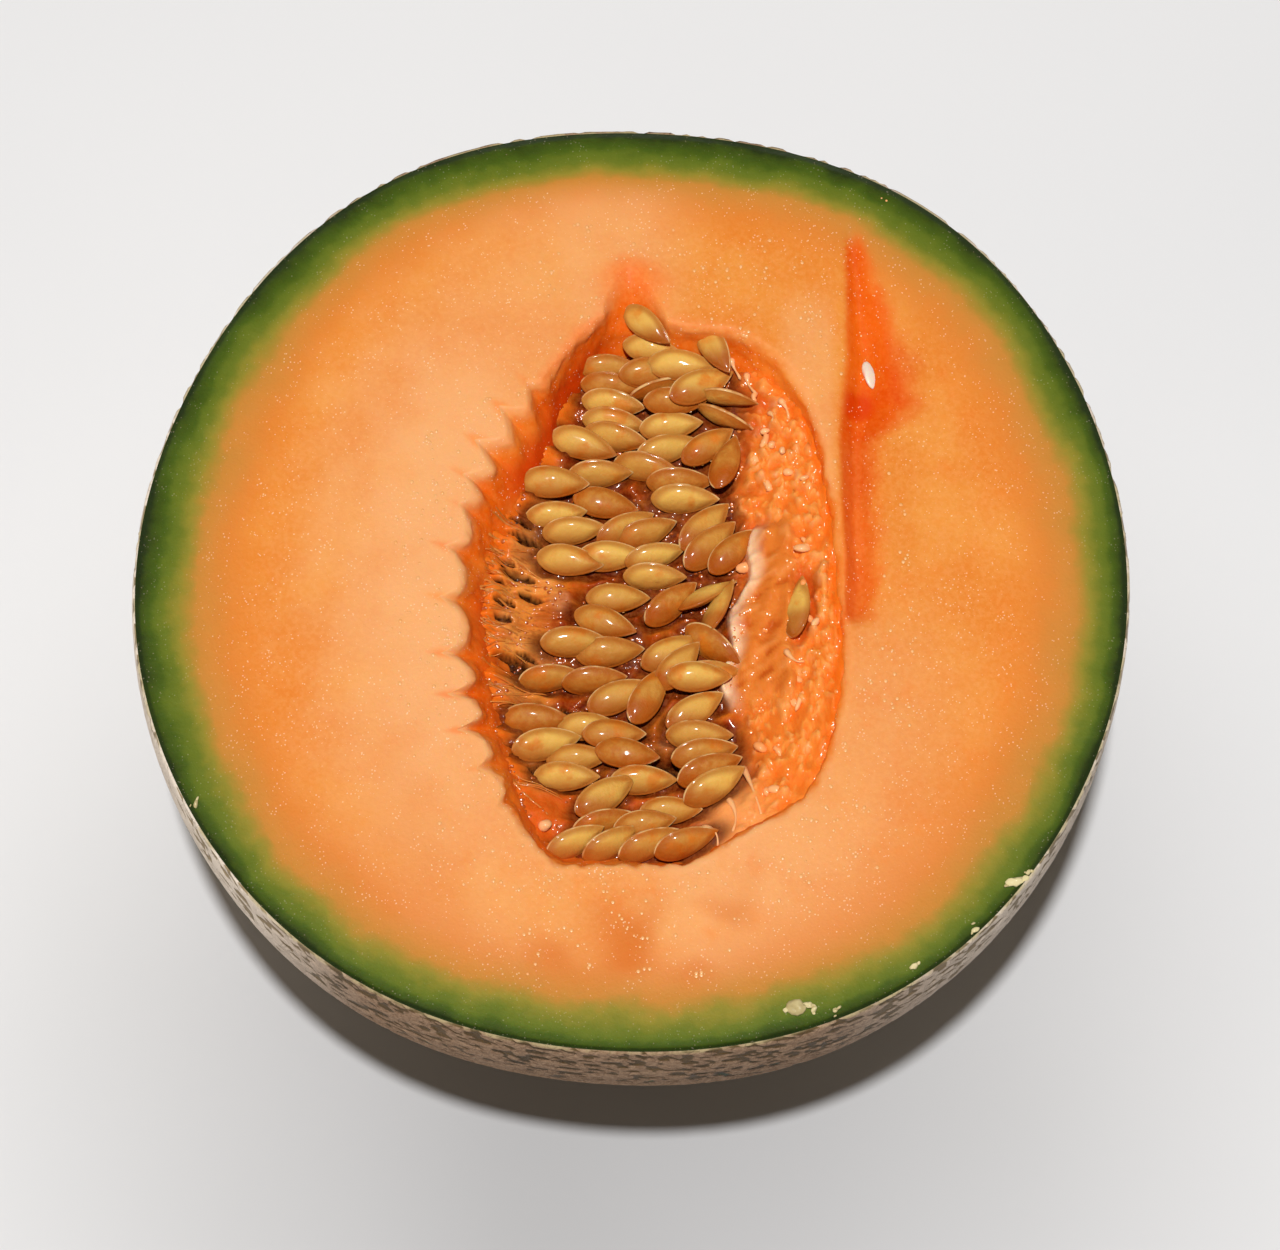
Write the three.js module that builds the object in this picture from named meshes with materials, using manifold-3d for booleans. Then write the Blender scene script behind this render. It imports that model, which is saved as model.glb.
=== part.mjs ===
// Half of a netted melon, lying on its rind with the cut face up, its hollow full of pulp and seeds.
// Millimetres, +Z up, +X to the right and +Y to the far side of the cut face.
// The origin is on the surface that the half rests on, under the middle of the cut face.
import * as THREE from 'three';
import { mergeVertices } from 'three/addons/utils/BufferGeometryUtils.js';
import Module from 'manifold-3d';

const wasm = await Module();
wasm.setup();

// Driving dimensions of the half
const MEAN_RADIUS = 78.3; // of the cut face
const HEIGHT = 74; // from the resting spot to the cut face
const FULL_DEPTH = 74.6; // where the rind would close below the resting spot
const LEAN = 0.026; // how far the lower layers drift to -X, per millimetre of depth
const BELLY = 3.3; // how far the rind stands out below the cut face, beyond an ellipsoid
const RIM_WAVES = [[2, 0.38, 169], [3, 0.16, -157], [4, 0.66, 154], [5, 0.19, -113], [6, 0.31, -14]];
const RIND_LUMP = 0.35;
const RIND_STEPS = 72;
const RIND_RINGS = 15;

// The hollow: an ellipse, with two factors every 20 degrees from +X. The first moves its edge out or in,
// and the second rounds its section: 2 is an ellipse and 1 has straight slopes
const HOLLOW = { x: 3, y: -1, halfWidth: 29, halfLength: 47, depth: 28 };
const HOLLOW_SWELL = [
  1, 1.01, 1.06, 1.02, 0.94, 1, 0.95, 0.91, 0.98,
  1, 1.01, 1.05, 1.11, 1, 1, 1, 1.11, 1.07,
];
const HOLLOW_ROUND = [
  1.6, 1.6, 1.6, 1.6, 1.7, 1.8, 1.7, 1.3, 1.3,
  1.45, 1.45, 1.5, 1.6, 1.7, 1.8, 1.7, 1.6, 1.6,
];
const HOLLOW_LEVELS = [-1, 0, 1.8, 4, 7, 10.5, 14.5, 19, 23, 26.2, 28];

// Clefts between the lobes of the left wall: angle round the hollow, and reach beyond the lobes
const CLEFTS = [
  [124, 0], [132, 2.2], [141, 3.8], [151, 3.8], [159, 2.8], [165, 2], [174, 3],
  [184, 3.2], [195, 3.6], [203, 3.8], [210, 3.6], [218, 2.4], [226, 1.4], [233, 0],
];
const CLEFT_SHARPNESS = { upper: 0.8, lower: 1.5 }; // higher makes the clefts narrower
const CLEFT_HEADING = 165; // direction in degrees of a cleft straight to the left, from +X
const CLEFT_FAN = 0.617; // how much of its angle round the hollow each other cleft turns
const CLEFT_FADE = 5.5; // depth at which the lobes have died out
const FAR_CLEFT = { angle: 95, spread: 10, reach: 7 };

// The opened seed chamber beside the hollow: y, left edge, width and depth along it
const TRENCH = [
  [60, 34.2, 1.6, 0.4], [54, 34, 3.6, 1], [47, 33.9, 5.4, 1.6], [38, 33.8, 8, 2.2], [29, 33, 9.6, 2.4],
  [23, 32.5, 6.8, 2.1], [8, 32.7, 6.4, 1.9], [-2, 32.8, 6.4, 1.9], [-6.5, 32.6, 5.6, 1.1],
];
const PALE_SEED = { x: 38.2, y: 34.9, depth: 1.8, yaw: 80, length: 5.2, width: 2.6, thickness: 1.8 };

// The pulp that fills the hollow
const GAP = 0.45; // left open between the pulp and the wall
const PULP_STEPS = 60;
const PULP_RINGS = 9;
const PULP_SIDE_RINGS = 4;
const PULP_FLOOR = 9.6; // depth of the pulp under most of the seeds
const PULP_RISE = 1.2; // less depth than that at the near end
const PULP_AT_WALL = { mean: 7.5, left: 8, right: 1.4, far: 1 }; // depth where it meets the wall
const FIBRES = 13;
const FIBRE = { length: 10, width: 1.5, height: 1.3, arch: 1.6 };

// A seed, and the strings in which the seeds lie like tiles, the far one lowest
const SEED = { length: 10.6, width: 4.9, thickness: 2.1 };
const SEED_SINK = { flat: 0.9, onEdge: 1.5 };
const SEED_STACK = 2.6; // highest that a seed's middle lies above the pulp
const SEED_BELOW_CUT = 2.8; // least depth of a seed's middle
const SEED_TILT = 30; // far edge up
const ON_EDGE = 84;
const SEED_STRINGS = [
  { at: [2.2, 44.2], count: 2, step: [1, -3], yaw: -40, turn: 28 },
  { at: [13, 40.2], yaw: -60 },
  { at: [-3.5, 38.8], count: 5, step: [0.2, -2.9], yaw: -3, turn: -2, tilt: 38 },
  { at: [3, 37.8], yaw: 5 },
  { at: [4.4, 35.6], yaw: 18, tilt: ON_EDGE },
  { at: [7.7, 38.3], count: 2, step: [3.2, -3.7], yaw: -3, turn: 27, tilt: 20 },
  { at: [15.2, 32.7], count: 2, step: [-0.6, -2.9], yaw: -10, turn: -10, tilt: ON_EDGE },
  { at: [6.7, 32.4], count: 3, step: [-0.6, -3.5], yaw: 0, turn: 8 },
  { at: [-5.2, 21.1], count: 2, step: [7.4, 1.2], yaw: 3, turn: -11, tilt: 40 },
  { at: [7.5, 19.5], count: 2, step: [0.8, -2.9], tilt: 40 },
  { at: [-7.8, 26], count: 2, step: [-4.6, -7.3], yaw: -20, turn: 17, tilt: 24 },
  { at: [11.9, 25.3], yaw: 35, tilt: 18 },
  { at: [14.8, 22.3], yaw: 71, tilt: -12 },
  { at: [-12.2, 13.8], count: 2, step: [2.9, -2.6], yaw: 8, tilt: 34 },
  { at: [-1.2, 11.6], count: 2, step: [3.3, -0.8], yaw: 28, turn: -6, tilt: 36 },
  { at: [-4.3, 15.9], yaw: -12, tilt: 16 },
  { at: [-3.5, 6.8], count: 2, step: [-6.4, -0.8], yaw: 3, turn: -11, tilt: 24 },
  { at: [11.4, 11.9], count: 2, step: [0.8, -3.2], yaw: 45, tilt: 26 },
  { at: [15.6, 7.6], yaw: 47, tilt: 14 },
  { at: [3.5, 6.8], count: 2, step: [0, -3.5], yaw: 15, turn: -15, tilt: 42 },
  { at: [-2.3, -0.4], count: 2, step: [-2, -4.1], turn: -18, tilt: 20 },
  { at: [6, -1.2], yaw: 42 },
  { at: [11.7, 0.3], count: 2, step: [1.7, -2.6], yaw: 30, turn: 32, tilt: -50 },
  { at: [-9.1, -8], count: 2, step: [5.5, -1.4], turn: 5 },
  { at: [12.7, -8.7], count: 2, step: [-0.3, -4.5], yaw: -35, turn: 35, tilt: 44 },
  { at: [5.7, -9.5], count: 2, step: [1.4, -2.9], yaw: 30, turn: 20, tilt: 20 },
  { at: [-12.8, -13.7], count: 2, step: [6.8, -0.5], yaw: 6, turn: 2, tilt: 44 },
  { at: [10.3, -14.4], count: 2, step: [-0.6, -4.9], turn: 33, tilt: 22 },
  { at: [-2.2, -16.9], count: 2, step: [4.7, -0.4], yaw: 25, turn: 35, tilt: 20 },
  { at: [-15.1, -21.3], count: 2, step: [1.7, -4], turn: 12, tilt: 28 },
  { at: [-6.8, -22.4], count: 2, step: [-1.7, -5], turn: 5, tilt: 26 },
  { at: [-2.9, -23.8], count: 2, step: [2.1, -3.3], turn: -8, tilt: 14 },
  { at: [-10.2, -30.7], count: 2, step: [11.9, -0.3], tilt: 30 },
  { at: [10.4, -23.6], count: 4, step: [0.75, -3.2], turn: 11, tilt: 34 },
  { at: [-4.2, -33.9], yaw: 33, tilt: 20 },
  { at: [5.9, -36.8], count: 2, step: [-4, -2.2], yaw: 3, turn: 9, tilt: 26 },
  { at: [-4.6, -38.6], yaw: 18, tilt: 46 },
  { at: [-8.9, -42], count: 4, step: [5.7, -0.2], yaw: 30, turn: -2, tilt: 44 },
  { at: [25.7, -3.8], yaw: 83, tilt: -38 },
];

const AXES = { x: new THREE.Vector3(1, 0, 0), y: new THREE.Vector3(0, 1, 0), z: new THREE.Vector3(0, 0, 1) };
const radians = THREE.MathUtils.degToRad;
const smooth = (low, high, value) => THREE.MathUtils.smoothstep(value, low, high);
const wobble = (count) => ((count * 0.618034) % 1) - 0.5; // evenly spread between -0.5 and 0.5

// Solids and geometry
// Positions of one closed piece, in loops of equal length joined by quads, with a fan at each end
function loftGeometry(loops, startCentre, endCentre) {
  const points = loops.flat();
  const size = loops[0].length;
  const faces = [];
  const first = points.push(startCentre) - 1;
  const last = points.push(endCentre) - 1;
  const end = (loops.length - 1) * size;
  for (let side = 0; side < size; side += 1) {
    const next = (side + 1) % size;
    faces.push([first, next, side], [last, end + side, end + next]);
    for (let loop = 0; loop < loops.length - 1; loop += 1) {
      const low = loop * size;
      const high = low + size;
      faces.push([low + side, low + next, high + next], [low + side, high + next, high + side]);
    }
  }
  return meshGeometry(points, faces);
}

function meshGeometry(points, faces) {
  const geometry = new THREE.BufferGeometry();
  geometry.setAttribute('position', new THREE.Float32BufferAttribute(points.flat(), 3));
  geometry.setIndex(faces.flat());
  return geometry;
}

function solidFrom(geometry) {
  const merged = mergeVertices(geometry, 1e-5);
  const vertProperties = new Float32Array(merged.attributes.position.array);
  const triVerts = new Uint32Array(merged.index.array);
  return new wasm.Manifold(new wasm.Mesh({ numProp: 3, vertProperties, triVerts }));
}

// The largest connected piece of a solid, so that sealed hollows are filled and scraps dropped
function mainBody(solid) {
  return solid.decompose().reduce((best, piece) => (piece.volume() > best.volume() ? piece : best));
}

function geometryFrom(solid) {
  const mesh = solid.getMesh();
  const geometry = new THREE.BufferGeometry();
  geometry.setAttribute('position', new THREE.BufferAttribute(Float32Array.from(mesh.vertProperties), 3));
  geometry.setIndex(Array.from(mesh.triVerts));
  geometry.computeVertexNormals();
  return geometry;
}

// The rind's outer form
function rimRadius(turn) {
  const waves = RIM_WAVES.map(([count, size, phase]) => size * Math.cos(count * turn - radians(phase)));
  return waves.reduce((sum, wave) => sum + wave, MEAN_RADIUS);
}

function rindPoint(turn, fall) {
  const depth = Math.min(FULL_DEPTH * Math.sin(fall), HEIGHT);
  const fade = Math.sin(2 * fall);
  const lump = RIND_LUMP * fade * Math.sin(5 * turn + 4 * fall) * Math.cos(3 * turn - 6 * fall);
  const radius = (rimRadius(turn) + BELLY * fade) * Math.cos(fall) + lump;
  return [radius * Math.cos(turn) - LEAN * depth, radius * Math.sin(turn), HEIGHT - depth];
}

function halfGeometry() {
  const lastFall = Math.asin(HEIGHT / FULL_DEPTH);
  const loops = [];
  for (let ring = RIND_RINGS; ring >= 0; ring -= 1) {
    const loop = [];
    for (let step = 0; step < RIND_STEPS; step += 1) {
      loop.push(rindPoint((step / RIND_STEPS) * 2 * Math.PI, (ring / RIND_RINGS) * lastFall));
    }
    loops.push(loop);
  }
  return loftGeometry(loops, [-LEAN * HEIGHT, 0, 0], [0, 0, HEIGHT]);
}

// The hollow's wall
// One of the hollow's two factors at any angle, along a smooth curve through its values
function aroundHollow(values, turn) {
  const count = values.length;
  const place = (((turn / (2 * Math.PI)) * count) % count + count) % count;
  const knot = Math.floor(place);
  const part = place - knot;
  const [before, low, high, after] = [-1, 0, 1, 2].map((k) => values[(knot + k + count) % count]);
  const bend = 2 * before - 5 * low + 4 * high - after;
  const twist = 3 * low - before - 3 * high + after;
  return 0.5 * (2 * low + (high - before) * part + bend * part ** 2 + twist * part ** 3);
}

function wallShrink(turn, depth) {
  const fall = Math.min(Math.max(depth, 0) / HOLLOW.depth, 1);
  const roundness = aroundHollow(HOLLOW_ROUND, turn);
  return Math.max((1 - fall ** roundness) ** (1 / roundness), 0.04);
}

function wallPoint(turn, depth, inset = 0) {
  const shrink = aroundHollow(HOLLOW_SWELL, turn) * wallShrink(turn, depth);
  const x = (HOLLOW.halfWidth * shrink - inset) * Math.cos(turn);
  const y = (HOLLOW.halfLength * shrink - inset) * Math.sin(turn);
  return [HOLLOW.x + x, HOLLOW.y + y];
}

// How far a cleft reaches beyond the lobes at this angle: most at a cleft and nothing half way between two
function cleftReach(turn) {
  const angle = THREE.MathUtils.radToDeg(turn);
  const next = CLEFTS.findIndex(([cleft]) => cleft > angle);
  if (next < 1) return 0;
  const [[before, lowReach], [after, highReach]] = [CLEFTS[next - 1], CLEFTS[next]];
  const part = (angle - before) / (after - before);
  const { upper, lower } = CLEFT_SHARPNESS;
  const sharpness = THREE.MathUtils.lerp(upper, lower, smooth(145, 180, angle));
  return THREE.MathUtils.lerp(lowReach, highReach, part) * (1 - Math.sin(Math.PI * part)) ** sharpness;
}

function hollowEdge(turn, depth) {
  const [x, y] = wallPoint(turn, depth);
  const fade = Math.max(1 - Math.max(depth, 0) / CLEFT_FADE, 0);
  const reach = cleftReach(turn) * fade;
  const angle = THREE.MathUtils.radToDeg(turn);
  const off = (angle - FAR_CLEFT.angle) / FAR_CLEFT.spread;
  const far = FAR_CLEFT.reach * Math.max(1 - Math.abs(off), 0) ** CLEFT_SHARPNESS.upper * fade;
  const heading = radians(CLEFT_HEADING + CLEFT_FAN * (angle - 180));
  return [x + reach * Math.cos(heading), y + reach * Math.sin(heading) + far, HEIGHT - depth];
}

// Angles round the hollow: even steps, and in the lobed wall five points to a lobe
function hollowTurns() {
  const angles = [];
  for (let angle = -120; angle < CLEFTS[0][0] - 3; angle += 7) angles.push(angle);
  angles.push(FAR_CLEFT.angle - FAR_CLEFT.spread, FAR_CLEFT.angle, FAR_CLEFT.angle + FAR_CLEFT.spread);
  for (let lobe = 0; lobe < CLEFTS.length - 1; lobe += 1) {
    const [[start], [end]] = [CLEFTS[lobe], CLEFTS[lobe + 1]];
    for (const part of [0, 0.12, 0.35, 0.65, 0.88]) angles.push(start + part * (end - start));
  }
  angles.push(CLEFTS.at(-1)[0]);
  return angles.sort((one, other) => one - other).map(radians);
}

function hollowGeometry() {
  const turns = hollowTurns();
  const levels = [...HOLLOW_LEVELS].reverse();
  const loops = levels.map((depth) => turns.map((turn) => hollowEdge(turn, depth)));
  return loftGeometry(
    loops,
    [HOLLOW.x, HOLLOW.y, HEIGHT - HOLLOW.depth],
    [HOLLOW.x, HOLLOW.y, HEIGHT - HOLLOW_LEVELS[0]],
  );
}

// The opened chamber: a short left wall, a trench, and a long slope back up to the right
function trenchGeometry() {
  const above = HEIGHT + 1;
  const loops = TRENCH.map(([y, left, width, depth]) => [
    [left, y, above],
    [left + 0.35 * width, y, HEIGHT - depth],
    [left + 0.5 * width, y, HEIGHT - 0.85 * depth],
    [left + 0.8 * width, y, HEIGHT - 0.3 * depth],
    [left + width + 0.8, y, above],
  ]);
  const centre = ([y, left, width, depth]) => [left + 0.4 * width, y, HEIGHT - 0.4 * depth];
  return loftGeometry(loops, centre(TRENCH[0]), centre(TRENCH.at(-1)));
}

// Angle round the hollow, and how far out of its middle: 1 at the edge
function hollowPlace(x, y) {
  const across = (x - HOLLOW.x) / HOLLOW.halfWidth;
  const along = (y - HOLLOW.y) / HOLLOW.halfLength;
  const turn = Math.atan2(along, across);
  return { turn, outward: Math.min(Math.hypot(across, along) / aroundHollow(HOLLOW_SWELL, turn), 1) };
}

// Depth at which the pulp's upper surface meets the wall
function wallContact(turn) {
  const side = Math.cos(turn) > 0 ? PULP_AT_WALL.right : PULP_AT_WALL.left;
  const sideways = THREE.MathUtils.lerp(PULP_AT_WALL.mean, side, Math.abs(Math.cos(turn)));
  return sideways + PULP_AT_WALL.far * Math.sin(turn);
}

// The pulp's upper surface, as a depth below the cut face
function pulpDepth(x, y) {
  const { turn, outward } = hollowPlace(x, y);
  const contact = wallContact(turn);
  const slope = 0.3 + 0.25 * Math.max(Math.cos(turn), 0);
  const middle = PULP_FLOOR - PULP_RISE * smooth(20, 42, -y);
  const level = THREE.MathUtils.lerp(contact, middle, smooth(0, slope, wallShrink(turn, contact) - outward));
  const grain = 0.5 * Math.sin(1.1 * x + 0.4 * y) * Math.sin(0.9 * y - 0.5 * x);
  return level + grain;
}

// Height of what a seed can rest on: the pulp, or the wall where that stands higher
function restHeight(x, y) {
  const { turn, outward } = hollowPlace(x, y);
  const roundness = aroundHollow(HOLLOW_ROUND, turn);
  const wall = HOLLOW.depth * (1 - outward ** roundness) ** (1 / roundness);
  return HEIGHT - Math.min(pulpDepth(x, y), wall);
}

function pulpGeometry() {
  const floor = HOLLOW.depth - 2 * GAP;
  const turns = Array.from({ length: PULP_STEPS }, (_, step) => (step / PULP_STEPS) * 2 * Math.PI);
  const rims = turns.map((turn) => pulpDepth(...wallPoint(turn, wallContact(turn))));
  const loops = [];
  for (let ring = PULP_SIDE_RINGS; ring >= 0; ring -= 1) {
    loops.push(turns.map((turn, step) => {
      const depth = THREE.MathUtils.lerp(rims[step], floor, ring / PULP_SIDE_RINGS);
      return [...wallPoint(turn, depth + GAP, GAP), HEIGHT - depth];
    }));
  }
  for (let ring = 1; ring < PULP_RINGS; ring += 1) {
    loops.push(turns.map((turn, step) => {
      const [edgeX, edgeY] = wallPoint(turn, rims[step] + GAP, GAP);
      const inward = ring / PULP_RINGS;
      const x = THREE.MathUtils.lerp(edgeX, HOLLOW.x, inward);
      const y = THREE.MathUtils.lerp(edgeY, HOLLOW.y, inward);
      return [x, y, HEIGHT - pulpDepth(x, y)];
    }));
  }
  return loftGeometry(
    loops,
    [HOLLOW.x, HOLLOW.y, HEIGHT - floor],
    [HOLLOW.x, HOLLOW.y, HEIGHT - pulpDepth(HOLLOW.x, HOLLOW.y)],
  );
}

// The space inside the wall that seeds and fibres may take
function roomGeometry() {
  const turns = Array.from({ length: PULP_STEPS }, (_, step) => (step / PULP_STEPS) * 2 * Math.PI);
  const levels = HOLLOW_LEVELS.slice(0, -1).reverse();
  const loops = levels.map((depth) => turns.map((turn) => (
    [...wallPoint(turn, Math.max(depth, 0) + GAP, GAP), HEIGHT - depth]
  )));
  return loftGeometry(
    loops,
    [HOLLOW.x, HOLLOW.y, HEIGHT - levels[0]],
    [HOLLOW.x, HOLLOW.y, HEIGHT - levels.at(-1)],
  );
}

// A fibre from the left wall to the seeds: a bent bar with five corners, low at both ends
function fibreGeometry(index) {
  const turn = radians(140 + (86 * index) / (FIBRES - 1) + 3 * wobble(index));
  const [startX, startY] = wallPoint(turn, PULP_FLOOR, 1);
  const stations = [0, 0.35, 0.7, 1];
  const loops = stations.map((part) => {
    const x = startX + part * FIBRE.length;
    const y = startY + part * (4 * wobble(index * 3) + 1);
    const z = HEIGHT - pulpDepth(x, y) + FIBRE.arch * Math.sin(Math.PI * (0.15 + 0.85 * part)) - 0.4;
    const half = (FIBRE.width / 2) * (1 - 0.4 * part);
    const low = z - FIBRE.height;
    return [[x, y - half, low], [x, y + half, low], [x, y + half, z], [x, y - half, z]];
  });
  const middle = (loop) => [0, 1, 2].map((axis) => loop.reduce((sum, point) => sum + point[axis] / 4, 0));
  return loftGeometry(loops, middle(loops[0]), middle(loops.at(-1)));
}

// Seeds
// The outline and the crown on each face, as parts of half the length and half the width
const SEED_EDGE = [
  [-1, 0], [-0.74, 0.7], [-0.12, 1], [0.55, 0.64],
  [1, 0], [0.55, -0.64], [-0.12, -1], [-0.74, -0.7],
];
const SEED_CROWN = [[-0.62, 0], [-0.08, 0.56], [0.5, 0], [-0.08, -0.56]];

function seedGeometry({ length, width, thickness }) {
  const place = (outline, z) => outline.map(([along, across]) => (
    [(along * length) / 2, (across * width) / 2, z]
  ));
  const crowns = [-thickness / 2, thickness / 2].map((z) => place(SEED_CROWN, z));
  const points = [...crowns[0], ...place(SEED_EDGE, 0), ...crowns[1]];
  const [low, edge, high] = [0, SEED_CROWN.length, SEED_CROWN.length + SEED_EDGE.length];
  const faces = [[low, low + 1, low + 3], [low + 1, low + 2, low + 3]];
  faces.push([high, high + 3, high + 1], [high + 1, high + 3, high + 2]);
  for (let corner = 0; corner < SEED_CROWN.length; corner += 1) {
    const next = (corner + 1) % SEED_CROWN.length;
    const [before, middle, after] = [0, 1, 2].map((k) => edge + ((2 * corner + k) % SEED_EDGE.length));
    faces.push([high + corner, middle, before], [high + corner, high + next, middle]);
    faces.push([high + next, after, middle], [low + next, middle, after]);
    faces.push([low + corner, before, middle], [low + corner, middle, low + next]);
  }
  return meshGeometry(points, faces);
}

// Height of a laid seed's upper face over a point, or nothing beside it
function seedTop(seed, x, y) {
  const local = new THREE.Vector3(x, y, 0).sub(seed.centre);
  const up = seed.normal;
  const rise = -(local.x * up.x + local.y * up.y) / up.z;
  const onPlane = new THREE.Vector3(local.x, local.y, rise).applyQuaternion(seed.spin.clone().invert());
  const reach = Math.hypot(onPlane.x / (seed.length / 2), onPlane.y / (seed.width / 2));
  if (reach > 1) return -Infinity;
  return seed.centre.z + rise + ((seed.thickness / 2) * Math.sqrt(1 - reach ** 2)) / up.z;
}

// Lays a seed down: it drops until a corner of it meets the pulp or a seed already there
function laySeed(x, y, yaw, tilt, index, laid) {
  const growth = 1 + 0.14 * wobble(index * 5);
  const seed = { length: SEED.length * growth, width: SEED.width * growth, thickness: SEED.thickness };
  const about = (axis, angle) => new THREE.Quaternion().setFromAxisAngle(AXES[axis], radians(angle));
  seed.spin = about('z', yaw).multiply(about('x', tilt)).multiply(about('y', 10 * wobble(index)));
  seed.normal = new THREE.Vector3(0, 0, 1).applyQuaternion(seed.spin);
  const touching = [[0, 0], [0.8, 0], [-0.8, 0], [0, 0.8], [0, -0.8]].map(([along, across]) => {
    const corner = new THREE.Vector3((along * seed.length) / 2, (across * seed.width) / 2, 0);
    corner.applyQuaternion(seed.spin);
    const tops = laid.map((other) => seedTop(other, x + corner.x, y + corner.y));
    return Math.max(restHeight(x + corner.x, y + corner.y), ...tops) - corner.z;
  });
  const sink = SEED_SINK.flat + SEED_SINK.onEdge * Math.sin(radians(tilt)) ** 2;
  const rest = Math.max(...touching) + seed.thickness / 2 - sink;
  const highest = Math.min(restHeight(x, y) + SEED_STACK, HEIGHT - SEED_BELOW_CUT);
  seed.centre = new THREE.Vector3(x, y, Math.min(rest, highest));
  return seed;
}

function layAllSeeds() {
  const laid = [];
  for (const { at, count = 1, step = [0, 0], yaw = 0, turn = 0, tilt = SEED_TILT } of SEED_STRINGS) {
    for (let place = 0; place < count; place += 1) {
      const [x, y] = [at[0] + place * step[0], at[1] + place * step[1]];
      laid.push(laySeed(x, y, yaw + place * turn, tilt, laid.length, laid));
    }
  }
  return laid;
}

function placedSeed(seed) {
  const geometry = seedGeometry(seed);
  geometry.applyQuaternion(seed.spin);
  geometry.translate(seed.centre.x, seed.centre.y, seed.centre.z);
  return solidFrom(geometry);
}

// The flesh with its rind
function makeFlesh() {
  const { x, y, depth, yaw, ...size } = PALE_SEED;
  const pale = seedGeometry(size);
  pale.rotateZ(radians(yaw));
  pale.translate(x, y, HEIGHT - depth);
  const half = solidFrom(halfGeometry());
  const opened = half.subtract(solidFrom(hollowGeometry())).subtract(solidFrom(trenchGeometry()));
  const material = new THREE.MeshStandardMaterial({ color: '#f6a868', roughness: 0.45, metalness: 0 });
  const mesh = new THREE.Mesh(geometryFrom(mainBody(opened.add(solidFrom(pale)))), material);
  mesh.name = 'melon_flesh';
  return mesh;
}

// The pulp with its fibres and seeds
function makeSeedMass() {
  const fibres = Array.from({ length: FIBRES }, (_, index) => solidFrom(fibreGeometry(index)));
  const pieces = [...fibres, ...layAllSeeds().map(placedSeed)];
  const loose = pieces.reduce((sum, piece) => sum.add(piece)).intersect(solidFrom(roomGeometry()));
  const mass = solidFrom(pulpGeometry()).add(loose);
  const material = new THREE.MeshStandardMaterial({ color: '#c98a3c', roughness: 0.3, metalness: 0 });
  const mesh = new THREE.Mesh(geometryFrom(mainBody(mass)), material);
  mesh.name = 'seed_mass';
  return mesh;
}

const melonHalf = new THREE.Group();
melonHalf.add(makeFlesh(), makeSeedMass());

export default melonHalf;
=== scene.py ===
# Half of a netted melon, lying on its rind with the cut face up.
# It is built of rind, flesh, pulp, seeds, fibres, grains, pale bits, crumbs of rind and beads.
# Lengths are millimetres in the row frame, and become metres as each mesh is made.
import math
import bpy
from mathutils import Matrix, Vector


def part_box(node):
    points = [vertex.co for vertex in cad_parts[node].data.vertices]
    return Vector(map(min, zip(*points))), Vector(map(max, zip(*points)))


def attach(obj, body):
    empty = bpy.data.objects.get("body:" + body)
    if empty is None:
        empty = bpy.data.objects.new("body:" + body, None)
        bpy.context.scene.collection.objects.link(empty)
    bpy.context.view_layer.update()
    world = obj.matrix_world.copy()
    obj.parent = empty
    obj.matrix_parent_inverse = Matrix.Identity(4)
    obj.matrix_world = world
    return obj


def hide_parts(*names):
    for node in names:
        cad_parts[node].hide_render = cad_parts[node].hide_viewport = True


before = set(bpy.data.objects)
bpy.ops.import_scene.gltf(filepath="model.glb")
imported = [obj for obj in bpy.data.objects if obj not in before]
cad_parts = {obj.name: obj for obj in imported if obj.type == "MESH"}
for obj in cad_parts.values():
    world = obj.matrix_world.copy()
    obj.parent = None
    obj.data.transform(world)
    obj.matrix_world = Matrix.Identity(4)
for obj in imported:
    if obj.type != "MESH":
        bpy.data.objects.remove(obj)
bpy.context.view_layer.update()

from types import SimpleNamespace

import bpy
import numpy as np
from mathutils import Euler, Vector, noise

MM = 0.001
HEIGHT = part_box("melon_flesh")[1].z / MM

# The camera: the photograph's angle, with the cut face's middle a little off the picture's middle
CAMERA_ELEVATION = math.radians(68.0)
CAMERA_DISTANCE = 750.0
SENSOR_WIDTH = 36.0
LENS = 135.45
CAMERA_ASIDE = 1.12
CAMERA_BELOW = 7.93

# The half's outer form, as in the solid
MEAN_RADIUS = 78.3
FULL_DEPTH = 74.6
LEAN = 0.026
BELLY = 3.3
RIM_WAVES = ((2, 0.38, 169), (3, 0.16, -157), (4, 0.66, 154), (5, 0.19, -113), (6, 0.31, -14))
RIND_LUMP = 0.35

# The hollow, as in the solid
HOLLOW_X, HOLLOW_Y = 3.0, -1.0
HALF_WIDTH, HALF_LENGTH = 29.0, 47.0
HOLLOW_DEPTH = 28.0
HOLLOW_SWELL = (
    1, 1.01, 1.06, 1.02, 0.94, 1, 0.95, 0.91, 0.98, 1, 1.01, 1.05, 1.11, 1, 1, 1, 1.11, 1.07,
)
HOLLOW_ROUND = (
    1.6, 1.6, 1.6, 1.6, 1.7, 1.8, 1.7, 1.3, 1.3, 1.45, 1.45, 1.5, 1.6, 1.7, 1.8, 1.7, 1.6, 1.6,
)
CLEFTS = (
    (124, 0), (132, 2.2), (141, 3.8), (151, 3.8), (159, 2.8), (165, 2), (174, 3),
    (184, 3.2), (195, 3.6), (203, 3.8), (210, 3.6), (218, 2.4), (226, 1.4), (233, 0),
)
CLEFT_SHARP_UPPER, CLEFT_SHARP_LOWER = 0.8, 1.5
CLEFT_HEADING = 165.0
CLEFT_FAN = 0.617
CLEFT_FADE = 5.5
FAR_CLEFT_ANGLE, FAR_CLEFT_SPREAD, FAR_CLEFT_REACH = 95.0, 10.0, 7.0

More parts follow.
